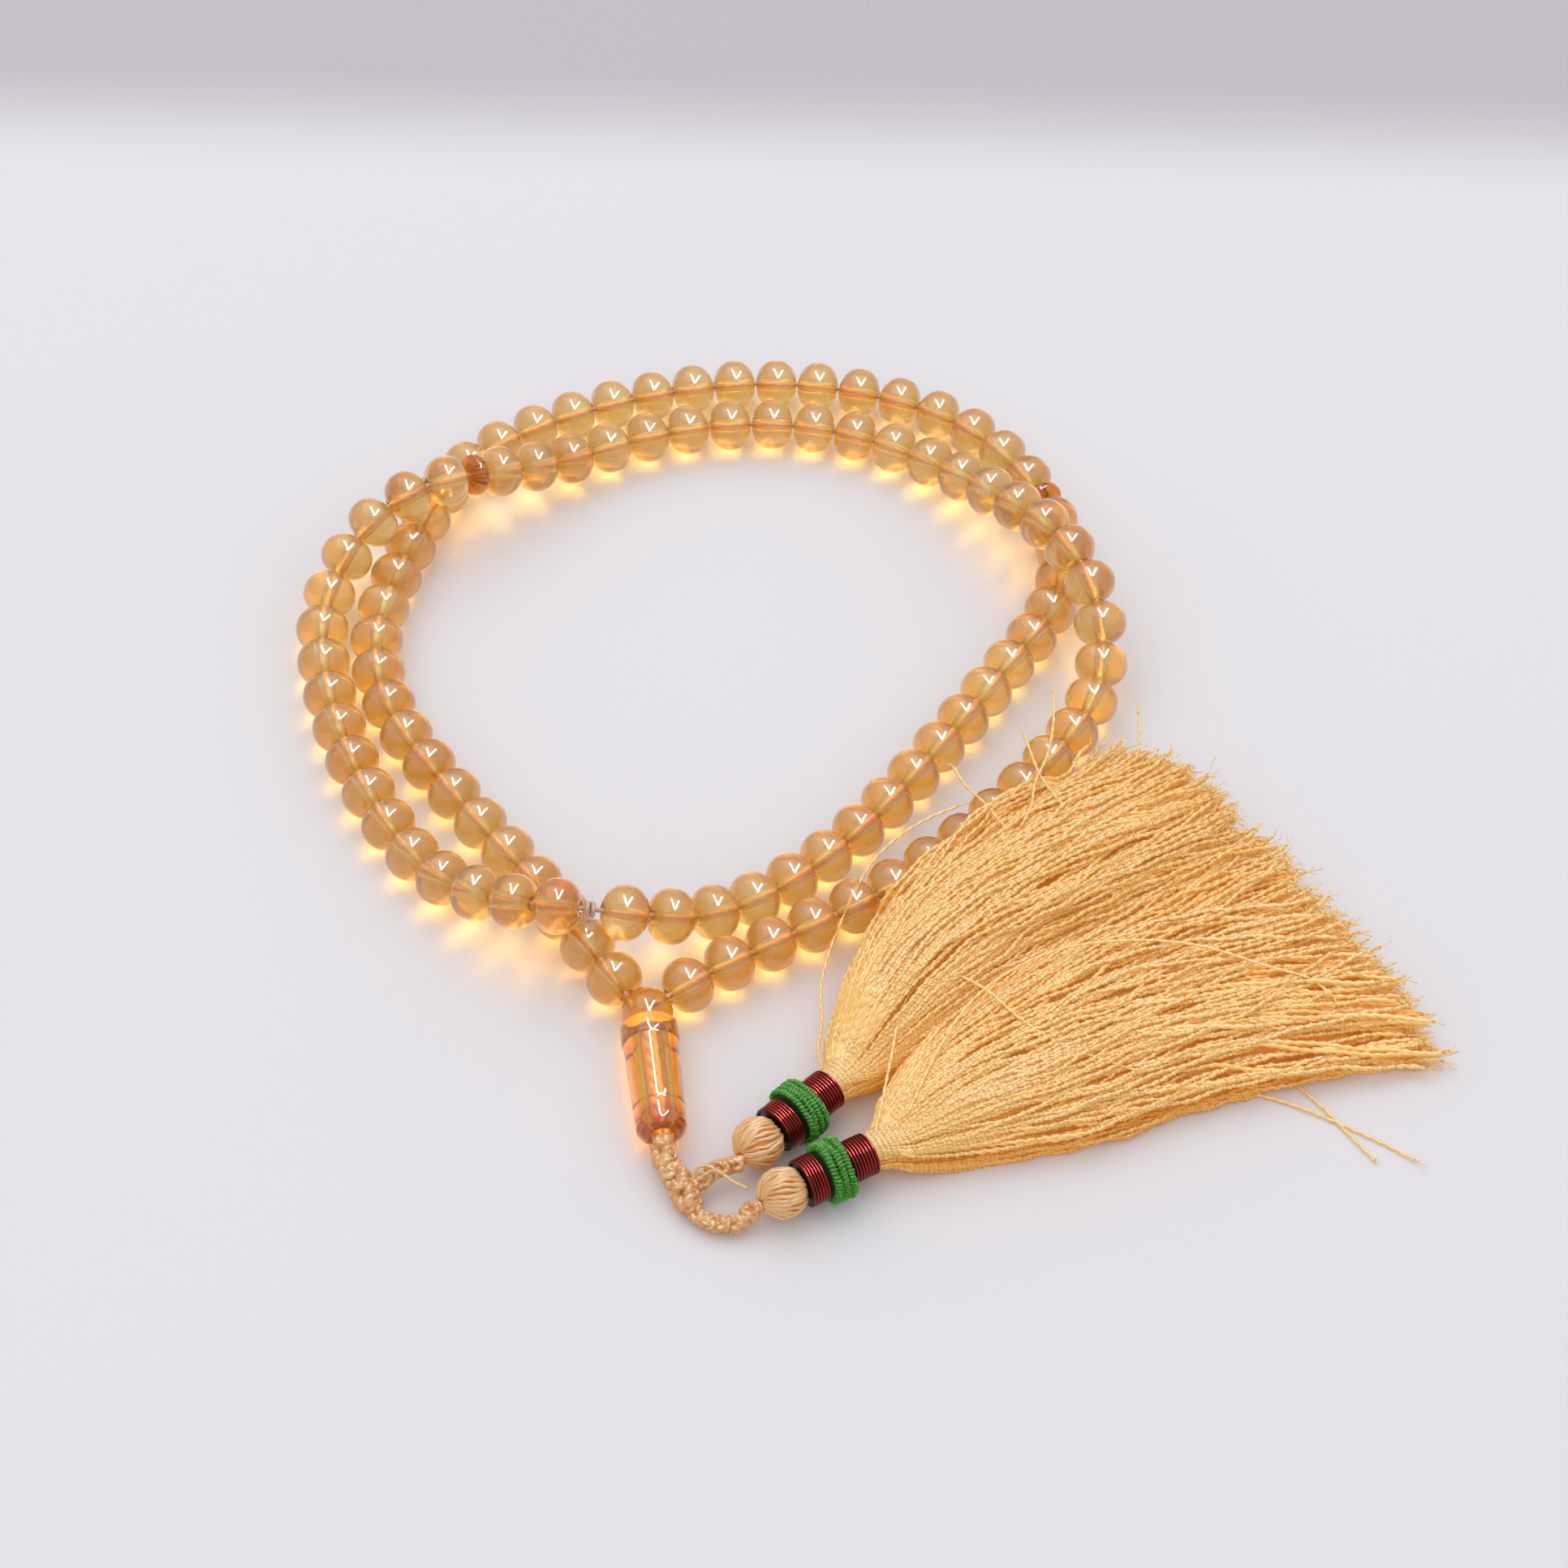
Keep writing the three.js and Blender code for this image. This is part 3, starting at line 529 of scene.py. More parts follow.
# Amber and golden resin take painted shade towards their outline, in a darker orange.
amber = new_material("amber resin", resin_group,
    {"Pale": (0.84, 0.76, 0.42, 1), "Deep": (0.76, 0.52, 0.15, 1), "Shade and Dirt": (0.74, 0.38, 0.1, 1),
     "Polish": 0.14}, {"Transmission Weight": 0.8, **COATED}, bump=0.05,
    lets_light_through=(0.62, 0.47, 0.25, 1), depth_tint=((1.0, 0.86, 0.4, 1), 125.0),
    rim_shade=(0.7, 0.31, 0.09, 1))
orange = new_material("orange resin", resin_group,
    {"Pale": (0.9, 0.55, 0.14, 1), "Deep": (0.75, 0.28, 0.04, 1), "Shade and Dirt": (0.5, 0.12, 0.02, 1)},
    {"Transmission Weight": 0.8, "IOR": 1.5}, bump=0.05, lets_light_through=(0.85, 0.6, 0.3, 1))
golden = new_material("golden resin", resin_group,
    {"Pale": (0.82, 0.6, 0.08, 1), "Deep": (0.74, 0.42, 0.03, 1), "Shade and Dirt": (0.62, 0.18, 0.01, 1),
     "Polish": 0.05}, {"Transmission Weight": 0.88, **COATED}, bump=0.05,
    lets_light_through=(0.66, 0.46, 0.18, 1), depth_tint=((1.0, 0.83, 0.14, 1), 140.0),
    rim_shade=(0.7, 0.3, 0.04, 1))
# The silk and wire finishes lay painted shade in their darkest colour where the meshes mark it; cord and
# fringe silk also give it off as painted light.
thread_silk = new_material("thread silk", silk_group,
    {"Light": (0.86, 0.6, 0.44, 1), "Middle": (0.62, 0.37, 0.24, 1), "Deep": (0.4, 0.15, 0.05, 1)},
    {"Sheen Weight": 0.2}, bump=0.4)
cord_silk = new_material("cord silk", silk_group,
    {"Light": (0.93, 0.74, 0.44, 1), "Middle": (0.78, 0.48, 0.2, 1), "Deep": (0.7, 0.24, 0.03, 1),
     "Dryness": 0.34}, {"Specular IOR Level": 0.6}, bump=0.5, painted_glow=0.06)
fringe_silk = new_material("fringe silk", silk_group,
    {"Light": (0.99, 0.83, 0.45, 1), "Middle": (0.97, 0.64, 0.2, 1), "Deep": (0.9, 0.4, 0.05, 1),
     "Dryness": 0.3}, {"Specular IOR Level": 0.5}, bump=0.3, painted_glow=0.12)
green_silk = new_material("green silk", silk_group,
    {"Light": (0.14, 0.6, 0.02, 1), "Middle": (0.022, 0.23, 0.004, 1),
     "Deep": (0.001, 0.015, 0.001, 1), "Dryness": 0.6},
    {"Sheen Weight": 0.08, "Sheen Roughness": 0.5}, bump=0.8)
red_wire = new_material("red wire", silk_group,
    {"Light": (0.4, 0.036, 0.028, 1), "Middle": (0.28, 0.014, 0.011, 1),
     "Deep": (0.02, 0.001, 0.001, 1), "Fibres": 0.05, "Dryness": 0.1},
    {"Metallic": 0.75, "Coat Weight": 0.15, "Coat Roughness": 0.08}, bump=0.05)
print("materials:", ", ".join(material.name for material in bpy.data.materials))

# %% [markdown]
# ## The thread
# The thread is two plies of silk. A curve with a round bevel would do from far off, but between the
# beads the twist shows, so it is swept as a mesh whose flat section turns as it goes. It is one
# piece that starts and ends inside the closing bead.

# %% Thread
THREAD_DIAMETER, RING_STEP = 0.8, 0.45
steps = [np.linspace(a, b, max(2, int(np.linalg.norm(b - a) / RING_STEP) + 1))[:-1]
         for a, b in zip(stations[:-1], stations[1:])]
thread_path = np.concatenate(steps + [stations[-1:]])
thread = new_piece("silk_strand", sweep([thread_path], 0.42, 0.3, 0.45, tone=0.1),
                   thread_silk, "root", ["thread"])
print("thread:", len(thread_path), "rings")

# %% [markdown]
# ## Counting beads
# A counting bead is a slightly barrel-shaped ball, flattened where it is drilled. A sphere with a
# boolean hole would do, but a turned outline that runs through the hole and back gives clean faces
# round the bore, where the light bends. Every bead gets its own tone and a slightly different size.

# %% One bead
PALE_PLACE, PALE_REACH = (-35, 62), 60
rng = np.random.default_rng(33)


def bead_part(tone, radius, length, burnt, bore=BORE, fullness=2.2):
    """A drilled bead along +x. The fuller it is, the flatter its ends and its waist."""
    angle = np.radians(np.linspace(-79, 79, 25))
    power = 2 / fullness
    r = radius * np.cos(angle) ** power
    x = np.sign(angle) * length / 2 * np.abs(np.sin(angle)) ** power
    lip = np.array([[bore + 0.22, x[-1] - 0.02], [bore + 0.05, x[-1] - 0.12], [bore, x[-1] - 0.35]])
    outline = np.concatenate([np.stack([r, x], -1), lip, [[bore, 1.2], [bore, -1.2]],
                              (lip * [1, -1])[::-1]])
    # Painted shade: the ends of the bead, and its bore, get the darker orange.
    end = np.clip((np.abs(outline[:, 1]) / (length / 2) - 0.5) / 0.5, 0, 1) ** 1.3
    end = np.where(outline[:, 0] < bore + 0.1, 0.8, end)
    return turn(outline[::-1], 40, closed=True, tone=tone, burnt=end * burnt)


for first, row in rows:
    parts = []
    for k in range(len(row) - 1):
        middle, way = (row[k] + row[k + 1]) / 2, row[k + 1] - row[k]
        gap = JOINED_GAP if k < len(row) - 2 else LOOSE_GAP
        middle = middle - unit(way) * (gap / 2 if len(row) == 2 else 0)
        pale = math.exp(-np.sum((middle[:2] - PALE_PLACE) ** 2) / PALE_REACH**2)
        tone = float(np.clip(0.5 - 0.35 * pale + rng.normal(0, 0.17), 0, 1))
        part = bead_part(tone, BEAD_RADIUS * rng.uniform(0.985, 1.0), BEAD_LENGTH * rng.uniform(0.98, 1.0),
                         burnt=rng.uniform(0.35, 0.75))
        parts.append(placed(part, middle, way))
    count = len(row) - 1
    node = f"bead_{first:03d}" if count == 1 else f"beads_{first:03d}_{first + count - 1:03d}"
    body = node if count == 1 else "root"
    new_piece(node.replace("bead", "amber"), parts, amber, body, [node])
print("beads:", len(rows), "pieces")

# %% [markdown]
# ## Separators
# The two thirds are marked off by thin discs of a deeper orange resin, narrower than the beads.

# %% Separators
for name in ("separator_a", "separator_b"):
    before, after = others[name]
    part = bead_part(0.5, SEPARATOR_RADIUS, SEPARATOR_LENGTH, fullness=2.6, burnt=0.4)
    new_piece(name.replace("separator", "disc"), [placed(part, (before + after) / 2, after - before)],
              orange, name, [name])
print("separators: 2")

# %% [markdown]
# ## The thread's knot
# The string is tied once, between two beads of the middle third. The knot is two tight turns of the
# same silk with two short cut ends standing out of it.

# %% Knot
before, after = others["knot"]
knot_middle, knot_way = (before + after) / 2, unit(after - before)
knot_side = unit(np.cross(knot_way, [0, 0, 1]))
knot_up = np.cross(knot_side, knot_way)


def around_knot(angles, radius, along):
    return (knot_middle + np.outer(along, knot_way) + np.outer(radius * np.cos(angles), knot_side)
            + np.outer(radius * np.sin(angles), knot_up))


turns = np.linspace(0, 4 * math.pi, 60)
knot_parts = sweep([around_knot(turns, 0.78, 0.42 * np.sin(turns / 2 + 0.4))], 0.36, 0.27, 0.5, tone=0.15)
for side, lean in ((-1, 0.35), (1, -0.3)):
    reach = np.linspace(0, 1, 8)[:, None]
    tail = (knot_middle + knot_up * 0.3 + reach * (knot_side * 0.5 * side + knot_way * lean)
            - knot_side * 1.1 * reach + np.array([0, 0, -1.0]) * 1.3 * reach**2)
    knot_parts += sweep([tail], 0.24, 0.16, 0.5, sides=6, tone=0.25)
new_piece("silk_knot", knot_parts, thread_silk, "root", ["thread_knot"])
print("knot: two turns and two tails")

# %% [markdown]
# ## The imam bead
# The long bead that closes the string is turned from one piece: a domed head, a sharp neck, a
# collar, and a barrel that tapers to a rounded foot with one fine groove. It is drilled up to the
# neck, and the cord can be seen in the hole, so the inside is modelled as well.

# %% Imam bead
IMAM_TOP = np.array([-25.6, -46.7, 4.15])
IMAM_WAY = unit(np.array([4.0, -23.6, -0.45]))
IMAM_LENGTH, IMAM_BORE, HEAD_RADIUS = 24.0, 1.5, 3.6
dome_angle = np.radians(np.linspace(3, 120, 26))
outline = [(HEAD_RADIUS * math.sin(a), DOME_RADIUS * (1 - math.cos(a))) for a in dome_angle]
neck = outline[-1][1]
outline += [(r, neck + d) for r, d in (
    (3.12, 0.1), (3.5, 0.16), (3.84, 0.28), (3.96, 0.5), (4.0, 0.8), (4.0, 1.7), (4.0, 2.6),
    (3.97, 2.9), (3.88, 3.2), (3.84, 3.36), (3.79, 3.42), (3.8, 3.6))]
groove = IMAM_LENGTH - 4.2
outline += [(3.8 - 0.27 * s, neck + 3.6 + (groove - 0.35 - neck - 3.6) * s) for s in np.linspace(0.1, 1, 10)]
outline += [(r, groove + d) for r, d in (
    (3.5, -0.18), (3.32, 0), (3.5, 0.18), (3.53, 0.35), (3.5, 1.2), (3.46, 2.4))]
outline += [(3.45 - 1.5 * (1 - math.cos(a)), IMAM_LENGTH - 1.5 * (1 - math.sin(a)))
            for a in np.radians(np.linspace(5, 90, 10))]
outline += [(IMAM_BORE + 0.15, IMAM_LENGTH), (IMAM_BORE, IMAM_LENGTH - 0.15)]
bore_top = neck + 0.5
outline += [(IMAM_BORE, x) for x in np.linspace(IMAM_LENGTH - 0.6, bore_top + 1.0, 8)]
outline += [(IMAM_BORE * math.cos(a), bore_top + 1.0 - math.sin(a)) for a in np.radians([25, 50, 75, 88])]
outline = np.array(outline)
x = outline[:, 1]
# Painted shade on the top of the dome and in thin lines at the neck and the collar's end, a line of dirt in
# the groove, and a deeper orange towards the foot.
edge_shade_and_groove_dirt = sum(np.exp(-((x - at) / wide) ** 2)
            for at, wide in ((neck, 0.22), (neck + 3.4, 0.2), (groove, 0.16)))
burnt = np.clip(1 - x / 3.0, 0, 1) ** 1.3 * 0.5 + np.clip((x - 20.2) / 1.6, 0, 1) * 0.95 + 0.8 * edge_shade_and_groove_dirt
tone = 0.35 + 0.35 * np.clip(1 - np.abs(x - 8.3) / 2.2, 0, 1)
imam_part = turn(outline[::-1], 72, tone=tone[::-1], burnt=np.clip(burnt[::-1], 0, 1))
new_piece("imam_bead", [placed(imam_part, IMAM_TOP, IMAM_WAY)], golden, "root", ["imam"])
print("imam bead:", IMAM_LENGTH, "mm long")

# %% [markdown]
# ## The silk cord
# Below the imam the cord is knotted by hand: four fat strands pass over and under each other in a
# chain of small knuckles. A plain helix looks like machine rope, so each strand also swings
# sideways and in and out as it goes, which crosses it over its neighbours.

# %% Knotted strands
STRANDS, CORD_STEP = 4, 0.16


def knotted(points, radius, pitch, fade):
    """Strands that weave round a path, with a core in painted shade that fills the middle."""
    path = even_points(points, CORD_STEP)
    _, side, up = (a[0] for a in carried_frames(path[None]))
    mm = length_along(path)
    wave = 2 * math.pi * mm / pitch
    swell = np.interp(mm / mm[-1], *zip(*fade))
    thick = radius * 0.40
    parts = []
    for k in range(STRANDS):
        phase = 2 * math.pi * k / STRANDS
        sign = 1 if k % 2 else -1
        angle = phase + sign * (wave * 0.5 + 0.75 * np.sin(wave + phase))
        out = radius * (0.56 + 0.11 * np.sin(2 * wave + 1.7 * k)) * swell
        strand = (path + (out * np.cos(angle))[:, None] * side + (out * np.sin(angle))[:, None] * up
                  + 0.28 * radius * np.sin(wave * 2 + phase)[:, None] * np.gradient(path, axis=0) / CORD_STEP)
        # Painted shade on the strands that lie nearer the middle.
        inner_strand_shade = np.clip(0.55 - 5 * (out / (radius * swell) - 0.56), 0, 0.85) * 0.5
        parts += sweep([strand], thick, thick * 0.86, 0.42, sides=12, lobe=0.16, groove=0.15,
                       tone=0.1 + 0.05 * k, deep=inner_strand_shade, phase=phase)
    return parts + sweep([path], radius * 0.5, radius * 0.5, 0.1, tone=-0.1, deep=0.75)


FOOT = IMAM_TOP + IMAM_WAY * IMAM_LENGTH
inside = np.array([IMAM_TOP + IMAM_WAY * d for d in np.linspace(bore_top + 0.9, IMAM_LENGTH + 0.8, 60)])
inner = []
inner_side = unit(np.cross(IMAM_WAY, [0, 0, 1]))
inner_up = np.cross(inner_side, IMAM_WAY)
for k in range(3):
    a = np.linspace(0, 2 * math.pi * 2.6, 60) + 2 * math.pi * k / 3
    inner += sweep([inside + 0.55 * np.cos(a)[:, None] * inner_side + 0.55 * np.sin(a)[:, None] * inner_up],
                   0.5, 0.42, 0.35, tone=0.2)
stem = knotted([FOOT + IMAM_WAY * 0.4, [-21.2, -72.8, 3.3], [-20.3, -74.8, 2.9], [-19.2, -76.6, 2.5],
                [-17.9, -78.6, 2.2], [-17.0, -79.9, 2.1]], 1.95, 3.3,
               fade=[(0, 0.75), (0.12, 1.0), (0.35, 0.92), (0.5, 1.0), (0.75, 1.25), (1, 0.95)])
new_piece("silk_stem", inner + stem, cord_silk, "braid", ["stem_braid"])


# %% The two branches
def branch(name, points, radius, pitch, node):
    """A branch of the cord from the stem to a knob, baked in place and riding on no body."""
    parts = knotted(points, radius, pitch, fade=[(0, 0.9), (0.5, 1.0), (0.85, 1.05), (1, 0.8)])
    piece = new_piece(name, parts, cord_silk, None, [node])
    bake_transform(piece)
    return piece


branch("silk_front_branch", [[-17.4, -79.6, 2.0], [-16.3, -81.1, 1.7], [-14.6, -82.2, 1.6],
    [-12.6, -82.5, 1.6], [-10.6, -81.9, 2.0], [-9.1, -80.9, 2.9], [-8.2, -80.4, 3.6]], 1.42, 2.6,
    "front_braid")
branch("silk_rear_branch", [[-17.6, -77.4, 2.6], [-16.2, -76.6, 2.7], [-14.9, -75.3, 2.9],
    [-13.4, -74.5, 3.1], [-12.0, -74.1, 3.5], [-11.1, -73.5, 3.9]], 1.36, 2.5,
    "rear_braid")
loop_turn = np.linspace(-0.3, 1.45 * math.pi, 30)
loop_path = np.array([-15.6, -76.6, 3.9]) + np.stack(
    [1.5 * np.cos(loop_turn), 1.1 * np.sin(loop_turn), 0.9 * np.sin(loop_turn)], -1)
across = even_points([[-16.9, -77.3, 3.6], [-14.4, -76.3, 5.0], [-12.0, -78.0, 5.1], [-9.0, -79.7, 5.4],
                      [-8.0, -79.9, 4.6]], 0.3)
loops = [part for path in (loop_path, across[:int(len(across) * 0.8)])
         for part in sweep([path], 0.3, 0.22, 0.5, sides=6, tone=0.15)]
new_piece("silk_loop_ends", loops, cord_silk, "braid")
print("cord: stem, two branches and their loose ends")

# %% [markdown]
# ## Tassel heads
# Each tassel has a knob of silk strands drawn tight over a small ball, then a close coil of red
# enamelled wire, a ring of green corded silk in rows, and a second coil of wire. Everything is made
# along +x from the middle of the knob and then laid in its place.

# %% Places and sizes
AXIS_HEIGHT, KNOB_RADIUS = 4.3, 3.4
LOWER_COIL = dict(start=2.72, length=2.9, radius=3.45, turns=6)
UPPER_COIL = dict(start=9.42, length=4.0, radius=3.0, turns=8)
RING_START, RING_LENGTH, RING_RADIUS = 5.92, 3.2, 4.25
NECK_END, SKIRT_LENGTH = 13.72, 81.0
TASSELS = {"front": (-5.4, -78.8, 32.0), "rear": (-8.9, -71.0, 46.0)}


def on_tassel(side, points):
    """From the tassel's own coordinates, along +x at floor level, to the frame's."""
    x, y, heading = TASSELS[side]
    c, s = math.cos(math.radians(heading)), math.sin(math.radians(heading))
    points = np.asarray(points, float)
    return np.stack([x + points[..., 0] * c - points[..., 1] * s,
                     y + points[..., 0] * s + points[..., 1] * c, points[..., 2]], -1)


def lay(side, parts):
    return [(on_tassel(side, v), q, uv, own) for v, q, uv, own in parts]


def raised(part):
    v, q, uv, own = part
    return v + [0, 0, AXIS_HEIGHT], q, uv, own


# %% Knob, wire and ring
def deeper_inside(parts, distance, top, depth, share):
    """Gives the low places between strands painted shade, by their distance from the middle."""
    for v, _, _, own in parts:
        own["deep"] = share * np.clip((top - distance(v)) / depth, 0, 1)
    return parts


KNOB_STRANDS, STRAND_POINTS = 34, 34


def knob_parts(seed):
    rng = np.random.default_rng(seed)
    angle = np.radians(np.linspace(178, 44, 24))
    # The ball shows only between the strands, and is given painted shade.
    ball = turn(np.stack([3.0 * np.sin(angle), 3.05 * np.cos(angle)], -1), 32, tone=-0.1, deep=0.8)
    s = np.linspace(0, 1, STRAND_POINTS)
    paths, tones = [], []
    for k in range(KNOB_STRANDS):
        polar = math.pi - 0.13 - s * (math.pi - 0.13 - math.acos(2.62 / KNOB_RADIUS))
        azimuth = 2 * math.pi * (k + rng.normal(0, 0.16)) / KNOB_STRANDS + 0.45 * s + 0.1 * np.sin(5 * s + k)
        r = 3.12 + rng.uniform(-0.06, 0.1) + 0.05 * np.sin(9 * s + 2 * k)
        paths.append(np.stack([r * np.cos(polar), r * np.sin(polar) * np.cos(azimuth),
                               AXIS_HEIGHT + r * np.sin(polar) * np.sin(azimuth)], -1))
        tones.append(rng.uniform(-0.1, 0.22))
    taper = np.interp(s, [0, 0.12, 0.35, 1], [0.35, 0.7, 1.0, 1.0])
    strands = sweep(paths, 0.37, 0.27, 0.22, taper=taper, tone=np.array(tones),
                    phase=rng.uniform(0, 6, KNOB_STRANDS))
    return [raised(ball)] + deeper_inside(
        strands, lambda v: np.linalg.norm(v - [0, 0, AXIS_HEIGHT], axis=1), 3.4, 0.3, 0.75)


def wire_parts(start, length, radius, turns):
    thick = length / turns / 2
    a = np.linspace(0, 2 * math.pi * turns, int(60 * turns))
    grip = 1 + 0.012 * np.sin(3.1 * a + start)
    r = (radius - thick) * grip
    path = np.stack([start + thick * 0.7 + (length - 1.4 * thick) * a / a[-1], r * np.cos(a),
                     AXIS_HEIGHT + r * np.sin(a)], -1)
    # A dark sleeve in painted shade lies under the coil, and the flanks of each turn get painted shade
    # between the turns.
    core = turn([(radius - 2 * thick, start + 0.2), (radius - 1.4 * thick, start + 0.3),
                 (radius - 1.4 * thick, start + length - 0.3), (radius - 2 * thick, start + length - 0.2)],
                32, tone=-0.2, deep=1.0)
    wire_mesh = sweep([path], thick * 0.84, thick * 0.84, 0.0, sides=10)
    return [raised(core)] + deeper_inside(
        wire_mesh, lambda v: np.hypot(v[:, 1], v[:, 2] - AXIS_HEIGHT),
        radius - 0.26 * thick, 0.4 * thick, 1.0)


def ring_parts(rows, seed):
    rng = np.random.default_rng(seed)
    pitch = RING_LENGTH / rows
    parts = []
    for row in range(rows):
        a = 2 * math.pi * np.arange(300) / 300
        b = 2 * math.pi * np.arange(14) / 14
        ribs = 46 + 3 * row
        tilt = 1 if row % 2 else -1
        slow = sum(0.05 * np.sin((j + 2) * a + rng.uniform(0, 6)) for j in range(3))
        A, B = np.meshgrid(a, b, indexing="ij")
        rib = np.abs(np.sin(ribs * A / 2 + tilt * B * 0.5)) ** 0.7
        small = pitch * (0.44 + 0.24 * (rib - 0.65) + rng.normal(0, 0.08, A.shape))
        small *= 1 + 0.8 * slow[:, None]
        big = RING_RADIUS - pitch * 0.5 + 0.5 * slow[:, None]
        x = RING_START + (row + 0.5) * pitch + 0.8 * slow[:, None] + small * np.sin(B)
        r = big + small * np.cos(B)
        rings = np.stack([x, r * np.cos(A), AXIS_HEIGHT + r * np.sin(A)], -1)
        v, q, uv = join_rings(rings[:, ::-1], closed=True, distance=a * RING_RADIUS)
        tuft = rng.normal(0, 0.22, A.shape)
        # The rib crests are painted lighter as a painted highlight, and the hollows between ribs get painted
        # shade; the tufts vary at random.
        own = {"tone": (0.35 * rib[:, ::-1] - 0.1 + tuft).ravel(),
               "deep": np.clip(0.9 - 1.1 * rib[:, ::-1], 0, 0.8).ravel()}
        parts.append((v, q, uv, own))
    inner, end = RING_RADIUS - pitch * 0.7, RING_START + RING_LENGTH
    # The core under the rows is given painted shade.
    core = turn([(2.6, RING_START + 0.1), (inner, RING_START + 0.2), (inner, end - 0.2), (2.6, end - 0.1)],
                32, tone=-0.2, deep=0.9)
    return [raised(core)] + parts


for side, rows_of_cord, seed in (("front", 3, 5), ("rear", 4, 8)):
    for name, parts, material, node, slot in (
            ("silk_knob", knob_parts(seed), cord_silk, "knob", "silk_cord"),
            ("lower_coil", wire_parts(**LOWER_COIL), red_wire, "lower_wrap", "red_wire"),
            ("upper_coil", wire_parts(**UPPER_COIL), red_wire, "upper_wrap", "red_wire"),
            ("green_ring", ring_parts(rows_of_cord, seed), green_silk, "ring", "green_silk")):
        new_piece(f"{side}_{name}", lay(side, parts), material, f"{side}_tassel", [f"{side}_{node}"])
print("tassel heads: 2, of four pieces each")

# %% [markdown]
# ## Tassel skirts
# A skirt is several hundred silk threads, tied at the neck and spread by their own weight. Hair
# particles would be quicker, but they aren't meshes and know nothing of the beads beneath. So each
# thread is swept as its own twisted mesh, from its place in the round neck to its place in a fan
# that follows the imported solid. Where the beads pass below, the fan's floor rises over them.

# %% Shape of the fans
SKIRTS = {
    "front": dict(height=9.0,
        left=[(0, 2.6), (0.07, 7), (0.2, 14), (0.45, 19.5), (0.75, 21.5), (1.0, 21.5)],
        right=[(0, -2.6), (0.15, -6), (0.35, -10.5), (0.6, -12.5), (0.85, -17), (1.0, -20)]),
    "rear": dict(height=13.0,
        left=[(0, 2.6), (0.13, 9.5), (0.25, 14.5), (0.4, 16.5), (0.65, 16.5), (0.87, 13.5), (1.0, 12.5)],
        right=[(0, -2.6), (0.15, -3.5), (0.4, -4.5), (0.7, -9), (0.92, -11), (1.0, -12)]),
}
under_skirt = stations[-20:-1]
CLEAR_OF_BEAD, FLOOR_GAP = 4.75, 0.3


def eased(table, share):
    """A table read with rounded corners, by averaging it over a short stretch."""
    x, y = zip(*table)
    return sum(np.interp(np.clip(share + d, 0, 1), x, y) for d in (-0.06, -0.03, 0, 0.03, 0.06)) / 5


def bead_floor(points):
    """How high a thread must lie to clear the beads that run below it."""
    a, b = under_skirt[:-1, :2], under_skirt[1:, :2]
    flat = points[..., None, :2]
    way = b - a
    t = np.clip(np.sum((flat - a) * way, -1) / np.sum(way * way, -1), 0, 1)
    gap = np.min(np.linalg.norm(flat - (a + t[..., None] * way), axis=-1), axis=-1)
    over = BEAD_RADIUS + np.sqrt(np.maximum(0, CLEAR_OF_BEAD**2 - np.minimum(gap, CLEAR_OF_BEAD) ** 2))
    beside = np.maximum(FLOOR_GAP, BEAD_RADIUS - (gap - CLEAR_OF_BEAD) * 1.1)
    return np.where(gap < CLEAR_OF_BEAD, over, beside)


def fan(side, u, v, share):
    """Places in a skirt: u across from -1 to 1, v from the floor -1 to the top 1, share along."""
    shape = SKIRTS[side]
    left, right = eased(shape["left"], share), eased(shape["right"], share)
    neck_y, neck_z = 2.35 * u * np.sqrt(1 - v**2 / 2), AXIS_HEIGHT + 2.35 * v * np.sqrt(1 - u**2 / 2)
    y = right + (left - right) * (u + 1) / 2
    x = NECK_END + SKIRT_LENGTH * share
    floor = bead_floor(on_tassel(side, np.stack([x, y, 0 * y], -1))) if side == "rear" else 0.35 + 0 * y
    top = eased([(0, 6.9), (0.2, shape["height"] * 0.88), (0.45, shape["height"] * 0.96),
                 (0.75, shape["height"] * 0.8), (1.0, shape["height"] * 0.42)], share)
    top = np.maximum(0.5 + top * (1 - 0.55 * np.abs(u) ** 3), floor + 1.3)
    z = floor + (top - floor) * (v + 1) / 2
    w = np.clip(share / 0.14, 0, 1)
    w = w * w * (3 - 2 * w)
    return np.stack([x, neck_y + (y - neck_y) * np.clip(share / 0.05, 0, 1), neck_z + (z - neck_z) * w], -1)


# %% Threads of the fans
THREADS, LOCKS, POINTS, PIECES = (540), 80, 120, 6
STRAY_SHARE = 0.2


